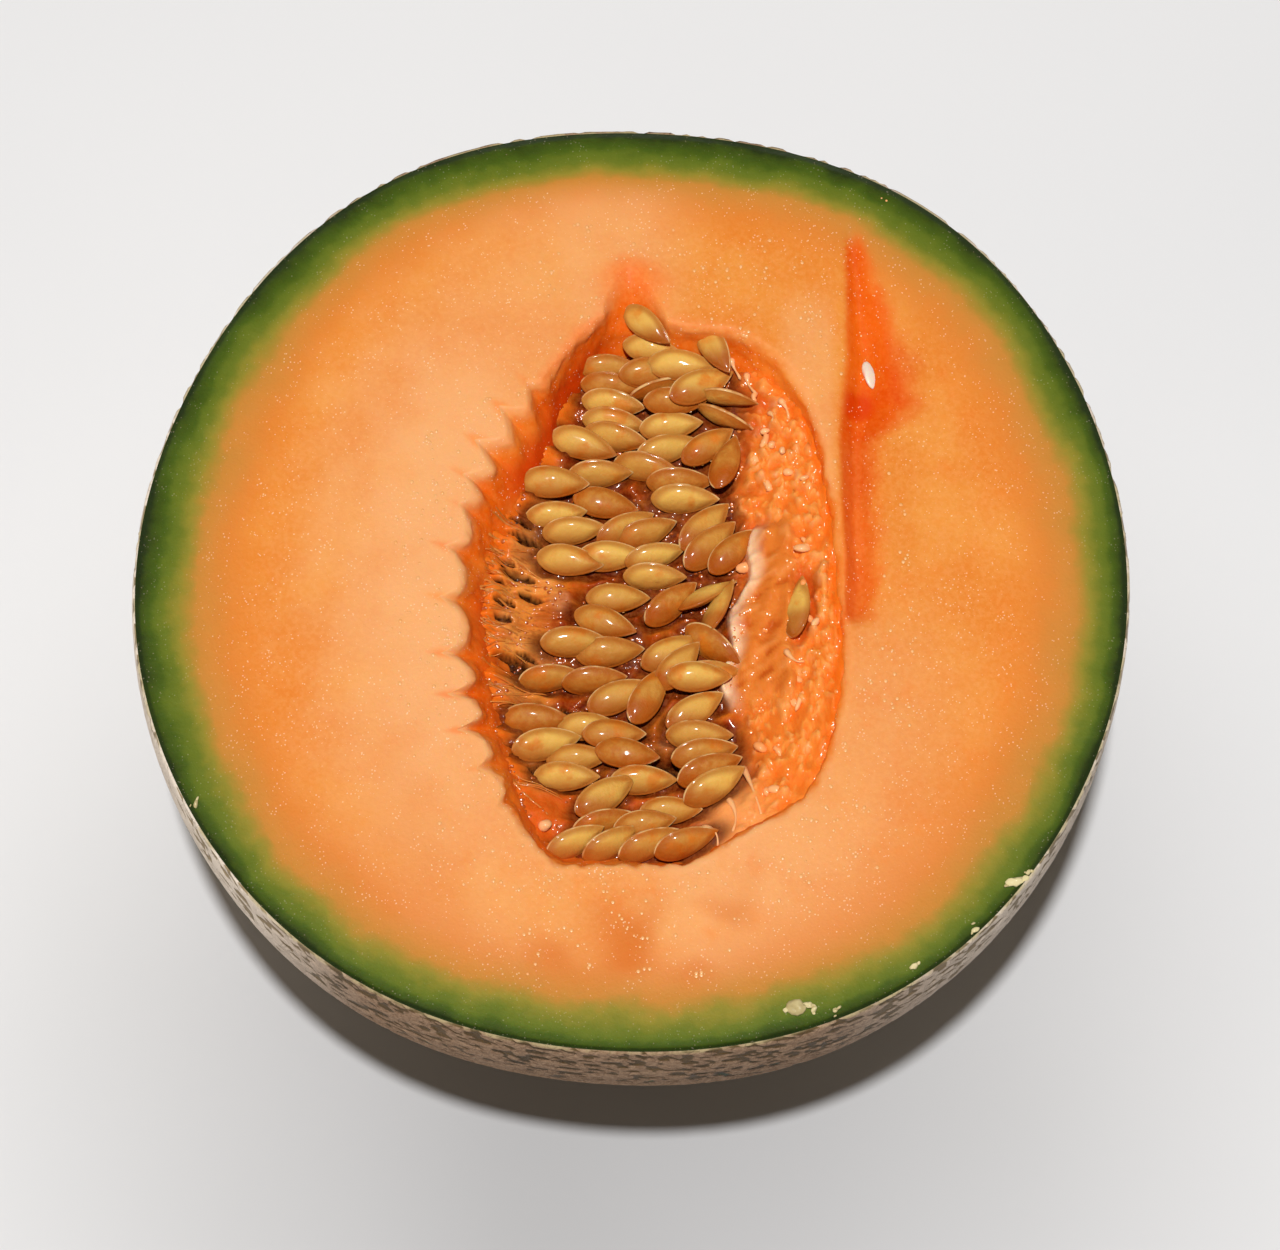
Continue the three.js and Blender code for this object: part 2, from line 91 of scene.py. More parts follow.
# The opened seed chamber beside the hollow: y, left edge, width and depth along it
TRENCH = (
    (60, 34.2, 1.6, 0.4), (54, 34, 3.6, 1), (47, 33.9, 5.4, 1.6), (38, 33.8, 8, 2.2),
    (29, 33, 9.6, 2.4), (23, 32.5, 6.8, 2.1), (8, 32.7, 6.4, 1.9), (-2, 32.8, 6.4, 1.9),
    (-6.5, 32.6, 5.6, 1.1),
)

# The dark patch in that chamber: x, y and half sizes
BRUISE = (35.4, 29.2, 3.0, 2.5)

# The pulp's upper surface, as in the solid
PULP_FLOOR = 9.6
PULP_RISE = 1.2
PULP_WALL_MEAN, PULP_WALL_LEFT, PULP_WALL_RIGHT, PULP_WALL_FAR = 7.5, 8.0, 1.4, 1.0

# Seeds, as in the solid: strings that lie like tiles, the far one lowest
SEED_LENGTH, SEED_WIDTH, SEED_THICKNESS = 10.6, 4.9, 2.1
SINK_FLAT, SINK_ON_EDGE = 0.9, 1.5
SEED_STACK = 2.6
SEED_BELOW_CUT = 2.8
ON_EDGE = 84
# Each string: x and y of its first seed, count, step to the next seed in x and in y, yaw of the
# first, turn to the next, tilt, and a tone where it differs from the usual mixture
SEED_STRINGS = (
    (2.2, 44.2, 2, 1, -3, -40, 28, 30, 0.9), (13, 40.2, 1, 0, 0, -60, 0, 30),
    (-3.5, 38.8, 5, 0.2, -2.9, -3, -2, 38), (3, 37.8, 1, 0, 0, 5, 0, 30),
    (4.4, 35.6, 1, 0, 0, 18, 0, ON_EDGE), (7.7, 38.3, 2, 3.2, -3.7, -3, 27, 20),
    (15.2, 32.7, 2, -0.6, -2.9, -10, -10, ON_EDGE), (6.7, 32.4, 3, -0.6, -3.5, 0, 8, 30),
    (-5.2, 21.1, 2, 7.4, 1.2, 3, -11, 40), (7.5, 19.5, 2, 0.8, -2.9, 0, 0, 40),
    (-7.8, 26, 2, -4.6, -7.3, -20, 17, 24), (11.9, 25.3, 1, 0, 0, 35, 0, 18),
    (14.8, 22.3, 1, 0, 0, 71, 0, -12), (-12.2, 13.8, 2, 2.9, -2.6, 8, 0, 34),
    (-1.2, 11.6, 2, 3.3, -0.8, 28, -6, 36), (-4.3, 15.9, 1, 0, 0, -12, 0, 16),
    (-3.5, 6.8, 2, -6.4, -0.8, 3, -11, 24), (11.4, 11.9, 2, 0.8, -3.2, 45, 0, 26),
    (15.6, 7.6, 1, 0, 0, 47, 0, 14), (3.5, 6.8, 2, 0, -3.5, 15, -15, 42),
    (-2.3, -0.4, 2, -2, -4.1, 0, -18, 20), (6, -1.2, 1, 0, 0, 42, 0, 30),
    (11.7, 0.3, 2, 1.7, -2.6, 30, 32, -50), (-9.1, -8, 2, 5.5, -1.4, 0, 5, 30),
    (12.7, -8.7, 2, -0.3, -4.5, -35, 35, 44), (5.7, -9.5, 2, 1.4, -2.9, 30, 20, 20),
    (-12.8, -13.7, 2, 6.8, -0.5, 6, 2, 44), (10.3, -14.4, 2, -0.6, -4.9, 0, 33, 22),
    (-2.2, -16.9, 2, 4.7, -0.4, 25, 35, 20), (-15.1, -21.3, 2, 1.7, -4, 0, 12, 28),
    (-6.8, -22.4, 2, -1.7, -5, 0, 5, 26), (-2.9, -23.8, 2, 2.1, -3.3, 0, -8, 14),
    (-10.2, -30.7, 2, 11.9, -0.3, 0, 0, 30), (10.4, -23.6, 4, 0.75, -3.2, 0, 11, 34),
    (-4.2, -33.9, 1, 0, 0, 33, 0, 20), (5.9, -36.8, 2, -4, -2.2, 3, 9, 26),
    (-4.6, -38.6, 1, 0, 0, 18, 0, 46), (-8.9, -42, 4, 5.7, -0.2, 30, -2, 44),
    (25.7, -3.8, 1, 0, 0, 83, 0, -38, 0.95),
)


# Small helpers for numbers
def smooth(low, high, value):
    """A soft step from 0 at low to 1 at high; it falls where low is the greater of the two."""
    part = np.clip((np.asarray(value, float) - low) / (high - low), 0, 1)
    return part * part * (3 - 2 * part)


def mix(low, high, part):
    return low + (high - low) * part


def wobble(count):
    """A number from -0.5 to 0.5 that jumps about as the count goes up."""
    return (count * 0.618034) % 1 - 0.5


def noise_at(points, size, salt=0.0):
    """Smooth noise of about -1 to 1 at each point, with lumps of the given size."""
    scaled = (np.asarray(points, float) / size + salt).tolist()
    return np.array([noise.noise(point) for point in scaled])


def cells_at(points, size, salt=0.0):
    """Distance to the nearest and the second nearest of some scattered points, in cell sizes."""
    scaled = (np.asarray(points, float) / size + salt).tolist()
    pairs = [noise.voronoi(point)[0][:2] for point in scaled]
    return np.array(pairs).T


def flat_points(x, y):
    return np.stack([x, y, np.zeros_like(x)], -1)


def round_turns(count, shift=0.0):
    """Evenly spaced angles of one full turn."""
    return (np.arange(count) + shift) / count * 2 * math.pi


# Meshes
def add_object(name, data):
    made = bpy.data.objects.new(name, data)
    bpy.context.scene.collection.objects.link(made)
    return made


def make_object(name, points, faces, attributes=None):
    mesh = bpy.data.meshes.new(name)
    mesh.from_pydata((np.asarray(points) * MM).tolist(), [], [list(face) for face in faces])
    for label, values in (attributes or {}).items():
        values = np.asarray(values, np.float32)
        if values.ndim == 1:
            mesh.attributes.new(label, "FLOAT", "POINT").data.foreach_set("value", values)
        else:
            alpha = np.ones((len(values), 1), np.float32)
            colour = mesh.color_attributes.new(label, "FLOAT_COLOR", "POINT")
            colour.data.foreach_set("color", np.hstack([values, alpha]).ravel())
    mesh.polygons.foreach_set("use_smooth", [True] * len(mesh.polygons))
    mesh.update()
    return add_object(name, mesh)


def loft(loops, start, end):
    """Points and faces of one closed piece: equal loops joined by quads, with a fan at each end."""
    count, size = len(loops), len(loops[0])
    points = np.concatenate([np.concatenate(loops), [start, end]])
    side = np.arange(size)
    after = (side + 1) % size
    faces = []
    for loop in range(count - 1):
        low, high = loop * size, (loop + 1) * size
        faces.extend(np.stack([low + side, low + after, high + after, high + side], -1).tolist())
    first, last, top = count * size, count * size + 1, (count - 1) * size
    faces.extend(np.stack([np.full(size, first), after, side], -1).tolist())
    faces.extend(np.stack([np.full(size, last), top + side, top + after], -1).tolist())
    return points, faces


def joined_object(name, pieces, **values):
    """One object from many (points, faces, tone) pieces, with each piece's tone on its points."""
    points, faces, tones, offset = [], [], [], 0
    for piece_points, piece_faces, tone in pieces:
        points.append(piece_points)
        faces.extend([[corner + offset for corner in face] for face in piece_faces])
        tones.append(np.full(len(piece_points), tone))
        offset += len(piece_points)
    values = {"tone": np.concatenate(tones), **values}
    return make_object(name, np.concatenate(points), faces, values)


# The half's outer form
def rim_radius(turn):
    radius = np.full_like(turn, MEAN_RADIUS)
    for count, size, phase in RIM_WAVES:
        radius = radius + size * np.cos(count * turn - math.radians(phase))
    return radius


def rind_points(turn, fall, inset):
    """A loop of the outer form, inset along its normal; fall is 0 at the cut face."""
    depth = FULL_DEPTH * math.sin(fall)
    waves = np.sin(5 * turn + 4 * fall) * np.cos(3 * turn - 6 * fall)
    lump = RIND_LUMP * math.sin(2 * fall) * waves
    radius = (rim_radius(turn) + BELLY * math.sin(2 * fall) - inset) * math.cos(fall) + lump
    height = np.maximum(HEIGHT - depth + inset * math.sin(fall), 0) + np.zeros_like(turn)
    return np.stack([radius * np.cos(turn) - LEAN * depth, radius * np.sin(turn), height], -1)


# The hollow's wall
def around_hollow(values, turn):
    """One of the hollow's two factors at any angle, along a smooth curve through its values."""
    values = np.array(values, float)
    place = (np.asarray(turn) / (2 * math.pi) * len(values)) % len(values)
    knot = np.floor(place).astype(int)
    part = place - knot
    before, low, high, after = (values[(knot + k) % len(values)] for k in (-1, 0, 1, 2))
    bend = 2 * before - 5 * low + 4 * high - after
    twist = 3 * low - before - 3 * high + after
    return 0.5 * (2 * low + (high - before) * part + bend * part**2 + twist * part**3)


def wall_shrink(turn, depth):
    fall = np.clip(np.asarray(depth, float) / HOLLOW_DEPTH, 0, 1)
    roundness = around_hollow(HOLLOW_ROUND, turn)
    return np.maximum((1 - fall**roundness) ** (1 / roundness), 0.04)


def wall_point(turn, depth, inset=0.0):
    shrink = around_hollow(HOLLOW_SWELL, turn) * wall_shrink(turn, depth)
    x = HOLLOW_X + (HALF_WIDTH * shrink - inset) * np.cos(turn)
    y = HOLLOW_Y + (HALF_LENGTH * shrink - inset) * np.sin(turn)
    return x, y


def cleft_reach(turn):
    angle = np.degrees(turn) % 360
    angles, reaches = np.array(CLEFTS, float).T
    following = np.clip(np.searchsorted(angles, angle), 1, len(angles) - 1)
    before, after = angles[following - 1], angles[following]
    part = np.clip((angle - before) / (after - before), 0, 1)
    sharpness = mix(CLEFT_SHARP_UPPER, CLEFT_SHARP_LOWER, smooth(145, 180, angle))
    lobe = np.clip(1 - np.sin(math.pi * part), 0, 1) ** sharpness
    return np.interp(angle, angles, reaches) * lobe


def column_heading(turn):
    """Direction in which the flesh and the clefts run from the hollow's edge to the skin."""
    first, last = CLEFTS[0][0] - 2, CLEFTS[-1][0] + 2
    fanned = [CLEFT_HEADING + CLEFT_FAN * (angle - 180) for angle in (first, last)]
    angles = (0, 40, 90, first, last, 262, 305, 360)
    headings = (0, 42, 93, *fanned, 240, 296, 360)
    return np.radians(np.interp(np.degrees(turn) % 360, angles, headings))


def off_far_cleft(turn):
    """How far an angle is from the cleft at the far end; 1 is where the cleft ends."""
    return np.abs((np.degrees(turn) % 360 - FAR_CLEFT_ANGLE) / FAR_CLEFT_SPREAD)


def cleft_offset(turn, depth):
    """How far the clefts carry the hollow's edge out, in x and in y."""
    fade = np.maximum(1 - np.maximum(depth, 0) / CLEFT_FADE, 0)
    far = FAR_CLEFT_REACH * np.clip(1 - off_far_cleft(turn), 0, 1) ** CLEFT_SHARP_UPPER
    reach = (cleft_reach(turn) + far) * fade
    heading = column_heading(turn)
    return reach * np.cos(heading), reach * np.sin(heading)


def hollow_edge(turn, depth, outset=0.0):
    x, y = wall_point(turn, depth, -outset)
    out_x, out_y = cleft_offset(turn, depth)
    return x + out_x, y + out_y


def hollow_place(x, y):
    """Angle round the hollow, and how far out of its middle: 1 at the edge."""
    across = (x - HOLLOW_X) / HALF_WIDTH
    along = (y - HOLLOW_Y) / HALF_LENGTH
    turn = np.arctan2(along, across)
    return turn, np.hypot(across, along) / around_hollow(HOLLOW_SWELL, turn)


def wall_contact(turn):
    """Depth at which the pulp's upper surface meets the wall."""
    side = np.where(np.cos(turn) > 0, PULP_WALL_RIGHT, PULP_WALL_LEFT)
    return mix(PULP_WALL_MEAN, side, np.abs(np.cos(turn))) + PULP_WALL_FAR * np.sin(turn)


def pulp_depth(x, y):
    turn, outward = hollow_place(np.asarray(x, float), np.asarray(y, float))
    contact = wall_contact(turn)
    slope = 0.3 + 0.25 * np.maximum(np.cos(turn), 0)
    middle = PULP_FLOOR - PULP_RISE * smooth(20, 42, -np.asarray(y, float))
    inward = (wall_shrink(turn, contact) - np.minimum(outward, 1)) / slope
    waves = 0.5 * np.sin(1.1 * x + 0.4 * y) * np.sin(0.9 * y - 0.5 * x)
    return mix(contact, middle, smooth(0, 1, inward)) + waves


def wall_depth(x, y):
    """Depth of the hollow's wall under a point."""
    turn, outward = hollow_place(np.asarray(x, float), np.asarray(y, float))
    roundness = around_hollow(HOLLOW_ROUND, turn)
    return HOLLOW_DEPTH * (1 - np.minimum(outward, 1) ** roundness) ** (1 / roundness)


def rest_height(x, y):
    """Height of what a seed can rest on: the pulp, or the wall where that stands higher."""
    return HEIGHT - float(min(pulp_depth(x, y), wall_depth(x, y)))


def trench_place(x, y):
    """Depth of the opened chamber below the cut face, and how far across it a point is."""
    rows = np.array(TRENCH)[::-1]
    left, width, depth = (np.interp(y, rows[:, 0], rows[:, k]) for k in (1, 2, 3))
    ends = smooth(-9.5, -5.5, y) * (1 - smooth(58, 63, y))
    across = (x - left) / width
    profile = np.interp(across, (-0.05, 0.35, 0.5, 0.8, 1.15), (0, 1, 0.85, 0.3, 0))
    profile = profile * profile * (3 - 2 * profile)
    return depth * ends * profile, across


# Materials
def linear(colour):
    """Linear colour from a six-figure one."""
    parts = [value / 255 for value in bytes.fromhex(colour)]
    return tuple(
        part / 12.92 if part <= 0.04045 else ((part + 0.055) / 1.055) ** 2.4 for part in parts
    )


class Nodes:
    """A material's node tree, with short calls for the nodes used here."""

    def __init__(self, name):
        self.material = bpy.data.materials.new(name)
        self.material.use_nodes = True
        self.tree = self.material.node_tree
        self.shader = next(node for node in self.tree.nodes if node.type == "BSDF_PRINCIPLED")

    def put(self, kind, inputs, **settings):
        made = self.tree.nodes.new("ShaderNode" + kind)
        for label, value in settings.items():
            setattr(made, label, value)
        for label, value in inputs.items():
            self.set(made.inputs[label], value)
        return made

    def set(self, socket, value):
        if isinstance(value, bpy.types.NodeSocket):
            self.tree.links.new(value, socket)
        elif isinstance(value, str):
            socket.default_value = (*linear(value), 1)
        else:
            socket.default_value = value

    def look(self, **values):
        names = {label.lower().replace(" ", "_"): label for label in self.shader.inputs.keys()}
        for label, value in values.items():
            self.set(self.shader.inputs[names[label]], value)

    def attribute(self, label, socket="Fac"):
        return self.put("Attribute", {}, attribute_name=label).outputs[socket]

    def place(self):
        return self.put("TexCoord", {}).outputs["Object"]

    def noise(self, size, detail=3.0, roughness=0.5, distortion=0.0):
        inputs = {"Vector": self.place(), "Scale": 1 / (size * MM), "Detail": detail}
        inputs.update({"Roughness": roughness, "Distortion": distortion})
        return self.put("TexNoise", inputs).outputs["Fac"]

    def cells(self, size, feature="F1"):
        inputs = {"Vector": self.place(), "Scale": 1 / (size * MM)}
        return self.put("TexVoronoi", inputs, feature=feature).outputs["Distance"]

    def span(self, value, low, high, start=0.0, end=1.0):
        inputs = {"Value": value, "From Min": low, "From Max": high, "To Min": start, "To Max": end}
        return self.put("MapRange", inputs, interpolation_type="SMOOTHSTEP").outputs["Result"]

    def math(self, operation, one, other):
        made = self.put("Math", {}, operation=operation)
        self.set(made.inputs[0], one)
        self.set(made.inputs[1], other)
        return made.outputs[0]

    def blend(self, part, one, other):
        """A mix of two colours; a colour mix node has them at its sockets 6 and 7."""
        made = self.put("Mix", {}, data_type="RGBA")
        for socket, value in ((0, part), (6, one), (7, other)):
            self.set(made.inputs[socket], value)
        return made.outputs[2]

    def lay(self, base, part, share, colour):
        """The base with a share of a colour laid over it where the part is 1."""
        return self.blend(self.math("MULTIPLY", part, share), base, colour)

    def layers(self, base, *layers):
        for part, share, colour in layers:
            base = self.lay(base, part, share, colour)
        return base

    def heights(self, one, other, share):
        """Sum of a height and a share of another."""
        return self.math("ADD", one, self.math("MULTIPLY", other, share))

    def ramp(self, value, stops):
        made = self.put("ValToRGB", {"Fac": value})
        elements = made.color_ramp.elements
        while len(elements) < len(stops):
            elements.new(0.5)
        for element, (position, colour) in zip(elements, stops):
            element.position = position
            element.color = (*linear(colour), 1)
        return made.outputs["Color"]

    def bump(self, height, distance, strength):
        inputs = {"Height": height, "Distance": distance * MM, "Strength": strength}
        return self.put("Bump", inputs).outputs["Normal"]

    def finish(self, colour, roughness, bump, soft=None, **values):
        """Sets the shader; soft holds scattering: weight, reach of green and blue, and depth."""
        if soft:
            weight, green, blue, depth = soft
            values.update(subsurface_weight=weight, subsurface_radius=(1.0, green, blue))
            values.update(subsurface_scale=depth * MM)
        self.look(base_color=colour, roughness=roughness, normal=self.bump(*bump), **values)
        return self.material


# The flesh's colours, from the skin inwards by the distance in millimetres
BAND_WIDTH = 20.0
BAND = (
    (0.0, "26330a"), (1.0, "3a4b0c"), (2.5, "485c10"), (3.6, "5f6e1a"), (5.0, "6c761f"),
    (7.0, "93872c"), (8.2, "aa8730"), (9.6, "c88736"), (11.5, "d28838"), (15.0, "de8432"),
    (20.0, "e6872e"),
)


def flesh_material():
    make = Nodes("melon_flesh_wet")
    parts = ("rim", "wet", "pale", "deep", "dusk", "split", "bruise")
    rim, wet, pale, deep, dusk, split, bruise = (make.attribute(part) for part in parts)
    waver = make.span(make.noise(12.0, 2.0), 0.3, 0.7, -0.9, 0.9)
    streak = make.span(make.noise(2.2, 4.0), 0.3, 0.7, -0.35, 0.35)
    distance = make.math("ADD", rim, make.math("ADD", waver, streak))
    band = make.ramp(
        make.math("DIVIDE", distance, BAND_WIDTH),
        [(position / BAND_WIDTH, colour) for position, colour in BAND],
    )
    mottle = make.span(make.noise(15.0, 4.0, 0.55), 0.35, 0.68)
    blotch = make.span(make.noise(34.0, 2.0, 0.5), 0.4, 0.65)
    fine = make.span(make.noise(0.8, 3.0, 0.6), 0.35, 0.7)
    inside = make.span(rim, 12.0, 22.0)
    peach = make.blend(mottle, "e6862c", "ec9942")
    peach = make.layers(peach, (blotch, 0.45, "e67f28"), (fine, 0.3, "f3ac66"))
    body = make.blend(inside, band, peach)
    body = make.layers(body, (pale, 0.8, "f4b47a"), (dusk, 0.8, "d8701e"))
    wall = make.blend(mottle, "f26806", "f68626")
    # Deeper down the wall the orange darkens: partly the flesh's own colour, partly painted shade.
    wall = make.layers(wall, (fine, 0.25, "f9a04c"), (deep, 0.95, "d43c00"))
    body = make.blend(wet, body, wall)
    chamber = make.blend(mottle, "e04e00", "ee680a")
    # The bruise layer also paints a shadow line along the chamber's left wall.
    chamber = make.layers(chamber, (fine, 0.2, "f28a3a"), (bruise, 0.8, "dc3c00"))
    body = make.blend(split, body, chamber)
    skin_line = make.span(rim, 0.9, 0.3)
    # Pale specks of the flesh, which also serve as painted sparkle: tiny highlights put into the
    # colour.
    spread = make.span(make.noise(3.0, 2.0), 0.38, 0.66, 0.07, 0.2)
    specks_and_sparkle = make.math("LESS_THAN", make.cells(0.62), spread)
    farther_in = make.math("MULTIPLY", make.span(rim, 8.0, 13.0), 0.35)
    specks_and_sparkle_share = make.math("ADD", farther_in, 0.12)
    body = make.layers(body, (skin_line, 0.7, "1c2a08"), (specks_and_sparkle, specks_and_sparkle_share, "ffe9c8"))
    grain = make.heights(make.noise(0.5, 2.0), make.noise(1.8, 3.0), 0.8)
    soft = (0.4, 0.36, 0.1, 2.0)
    return make.finish(body, 0.5, (grain, 0.08, 0.6), soft, specular_ior_level=0.12)


def rind_material():
    make = Nodes("netted_rind")
    net, edge, bleached = (make.attribute(part) for part in ("net", "edge", "bleached"))
    tone = make.span(make.noise(14.0, 4.0), 0.3, 0.7)
    fine = make.span(make.noise(0.7, 4.0, 0.65), 0.3, 0.72)
    cork = make.blend(fine, make.blend(tone, "7c5f46", "927358"), "b09074")
    # Painted light: the cork and the skin between it are lighter on the rind's left and right sides.
    cork = make.lay(cork, bleached, 0.9, "f4e6d6")
    skin = make.blend(tone, "422e0a", "664a1c")
    skin = make.layers(skin, (fine, 0.35, "6e5632"), (bleached, 0.6, "b8a27c"))
    colour = make.blend(make.span(net, 0.3, 0.65), skin, cork)
    broken = make.span(make.noise(4.0, 3.0), 0.4, 0.6, 0.1, 1.0)
    colour = make.lay(colour, edge, broken, "b8a87c")
    cracks = make.span(make.cells(1.6, "DISTANCE_TO_EDGE"), 0.0, 0.12)
    height = make.heights(make.noise(0.45, 4.0, 0.6), cracks, 0.5)
    roughness = make.span(net, 0.2, 0.8, 0.55, 0.82)
    return make.finish(colour, roughness, (height, 0.22, 0.8), specular_ior_level=0.3)


def pulp_material():
    make = Nodes("wet_pulp")
    fine = make.span(make.noise(0.8, 3.0, 0.6), 0.3, 0.7)
    colour = make.lay(make.attribute("tint", "Color"), fine, 0.15, "ee8c3c")
    height = make.heights(make.noise(0.6, 3.0), make.noise(2.0, 2.0), 0.8)
    gloss = dict(specular_ior_level=0.08, coat_weight=0.22, coat_roughness=0.1)
    return make.finish(colour, 0.5, (height, 0.14, 0.8), (0.3, 0.3, 0.08, 1.2), **gloss)


def seed_material():
    make = Nodes("golden_seed")
    tone, margin, nearer = (make.attribute(part) for part in ("tone", "margin", "nearer"))
    grain = make.span(make.noise(1.1, 3.0), 0.35, 0.7)
    smear = make.span(make.noise(4.0, 3.0), 0.53, 0.72)
    # Painted shade on the seed's sloping shoulder, between its middle and its rim.
    shoulder_shade = make.span(margin, 0.5, 0.86)
    edge = make.span(margin, 0.935, 0.975)
    uneven = make.span(make.noise(2.4, 2.0), 0.38, 0.66, 0.05, 0.85)
    # Painted shade: one layer darkens each seed's near side.
    colour = make.layers(
        make.blend(tone, "b25e12", "e4b456"),
        (grain, 0.3, "d9a850"),
        (smear, 0.65, "d86e04"),
        (nearer, 0.75, "a44806"),
        (shoulder_shade, 0.6, "a44c0a"),
        (edge, uneven, "e6be82"),
    )
    relief = make.heights(make.noise(1.3, 3.0), make.noise(0.45, 2.0), 0.35)
    gloss = dict(specular_ior_level=0.1, coat_weight=0.16, coat_roughness=0.1)
    return make.finish(colour, 0.5, (relief, 0.22, 0.9), (0.25, 0.45, 0.15, 0.8), **gloss)


# Materials of the small pieces: dark and light tone, roughness, share of scattering, and the wet
# coat's weight, refraction and roughness
SMALL_MATERIALS = {
    "wet_fibre": ("cc5c10", "e28a40", 0.4, 0.4, 0.4, 1.5, 0.1),
    "wet_grain": ("f08c3a", "fab478", 0.5, 0.0, 0.2, 1.5, 0.1),
    "pale_wet": ("f2a05a", "fabb84", 0.5, 0.3, 0.3, 1.5, 0.1),
    "white_seed": ("e6c8a0", "f6e2ce", 0.4, 0.4, 0.4, 1.5, 0.1),
    "dry_crumb": ("a08a54", "e2d3a0", 0.8, 0.0, 0.1, 1.5, 0.1),
    "bead_on_seed": ("c07a2a", "d89a48", 0.2, 0.1, 1.0, 1.8, 0.22),
    "bead_on_pulp": ("a44206", "f08e40", 0.2, 0.0, 1.0, 1.65, 0.22),
    "bead_on_flesh": ("f4a860", "f8b878", 0.2, 0.0, 1.0, 1.6, 0.22),
}


def small_material(name):
    """A material in two tones, for the small pieces; the coat makes it look wet."""
    dark, light, roughness, soft, coat, gleam, blur = SMALL_MATERIALS[name]
    make = Nodes(name)
    mottle = make.span(make.noise(0.9, 3.0), 0.3, 0.7)
    colour = make.lay(make.blend(make.attribute("tone"), dark, light), mottle, 0.3, light)
    gloss = dict(specular_ior_level=0.2, coat_weight=coat, coat_roughness=blur, coat_ior=gleam)
    relief = (make.noise(0.5, 2.0), 0.03, 0.5)
    return make.finish(colour, roughness, relief, (soft, 0.4, 0.15, 1.2), **gloss)


# The floor's painted shade: it darkens towards this point in front of the melon, out to this reach.
DUSKY_FLOOR_Y, DUSKY_FLOOR_REACH = -55.0, 150.0


def floor_material():
    make = Nodes("pale_floor")
    away = make.put("VectorMath", {}, operation="DISTANCE")
    make.set(away.inputs[0], make.place())
    make.set(away.inputs[1], (0, DUSKY_FLOOR_Y * MM, 0))
    shade = make.span(away.outputs["Value"], 0.0, DUSKY_FLOOR_REACH * MM)
    cloud = make.math("MULTIPLY", make.span(make.noise(150.0, 2.0), 0.3, 0.7), 0.3)
    tone = make.blend(shade, "a1a1a2", "ebebec")
    make.look(base_color=make.blend(cloud, tone, "e4e4e6"), roughness=0.8, specular_ior_level=0.1)
    return make.material


def finish_piece(piece, material, slot, *nodes):
    piece.data.materials.append(material)
    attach(piece, "root")
    if nodes:
        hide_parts(*nodes)
    return piece


# Rind: a thin netted skin, closed all round
RIND_COLUMNS = 560
RIND_ROWS = 142
RIND_INNER_ROWS = 12
SKIN = 0.55
NET_RELIEF = 0.34
LAST_FALL = math.asin(min(HEIGHT / FULL_DEPTH, 1))


def net_height(points):
    """The cork net: 1 on a cord, 0 in the gaps, which are longer than they are high."""
    warp = np.stack([noise_at(points, 5.0, salt) for salt in (3.1, 17.7, 41.3)], -1)
    placed = points * (1, 1, 2.0) + 1.6 * warp
    nearest, second = cells_at(placed, 3.9)
    cord = 1 - smooth(0.13, 0.24, second - nearest)
    cover = noise_at(points, 16.0, 9.0)
    return np.clip(cord + smooth(0.3, 0.7, cover) * 0.5, 0, 1)


def make_rind():
    turn = round_turns(RIND_COLUMNS)
    falls = np.linspace(0, LAST_FALL, RIND_ROWS)
    outer = [rind_points(turn, fall, 0.0) for fall in falls]
    all_outer = np.concatenate(outer)
    net = net_height(all_outer)
    rough = noise_at(all_outer, 1.4, 5.0)
    sunk = NET_RELIEF * (1 - net) + 0.05 * (1 + rough)
    loops, nets, edges = [], [], []
    for fall in np.linspace(LAST_FALL, 0, RIND_INNER_ROWS):
        loops.append(rind_points(turn, fall, SKIN))
        nets.append(np.ones(RIND_COLUMNS))
        edges.append(np.ones(RIND_COLUMNS))
    torn = 0.12 * (1 + noise_at(outer[0], 2.5, 8.0))
    for row, fall in enumerate(falls):
        part = slice(row * RIND_COLUMNS, (row + 1) * RIND_COLUMNS)
        ring = rind_points(turn, fall, sunk[part])
        if row == 0:
            ring[:, 2] = HEIGHT - torn
        loops.append(ring)
        nets.append(net[part])
        edges.append(np.full(RIND_COLUMNS, 0.6 if row == 0 else 0.0))
    middle = -LEAN * HEIGHT
    points, faces = loft(loops, (middle, 0, SKIN), (middle, 0, 0))
    points[:, 2] = np.maximum(points[:, 2], 0)
    values = {"net": np.concatenate(nets + [[1, 1]]), "edge": np.concatenate(edges + [[0, 0]])}
    x = points[:, 0]
    # Painted light on the rind's sides: lighter on the left, and a little on the right.
    values["bleached"] = np.maximum(smooth(-38, -62, x), 0.8 * smooth(25, 60, x))
    return make_object("rind", points, faces, values)


# Flesh: one closed solid inside the skin, with the cut face, the trench and the lobed hollow
FLESH_COLUMNS = 720
CUT_ROWS = 88
ROWS_TO_HOLLOW = 0.15
CLEFT_START = 0.55
TIP_ROWS = 12
LIP_ROWS = 7
WALL_ROWS = 28
UNDER_ROWS = 14
LEFT_WALL_MORE = 0.8
FLESH_FLOOR = 17.0
WELL_INSIDE = 62.0
MEAN_HALF = (HALF_WIDTH + HALF_LENGTH) / 2


def even_turns(count):
    """Angles that divide the hollow's edge evenly, but closer together in the lobed left wall."""
    fine = np.linspace(0, 2 * math.pi, 20000)
    x, y = wall_point(fine, 0.0)
    weight = 1 + LEFT_WALL_MORE * smooth(0.1, 0.5, -np.cos(fine))[1:]
    walked = np.concatenate([[0], np.cumsum(np.hypot(np.diff(x), np.diff(y)) * weight)])
    return np.interp(np.arange(count) / count * walked[-1], walked, fine)


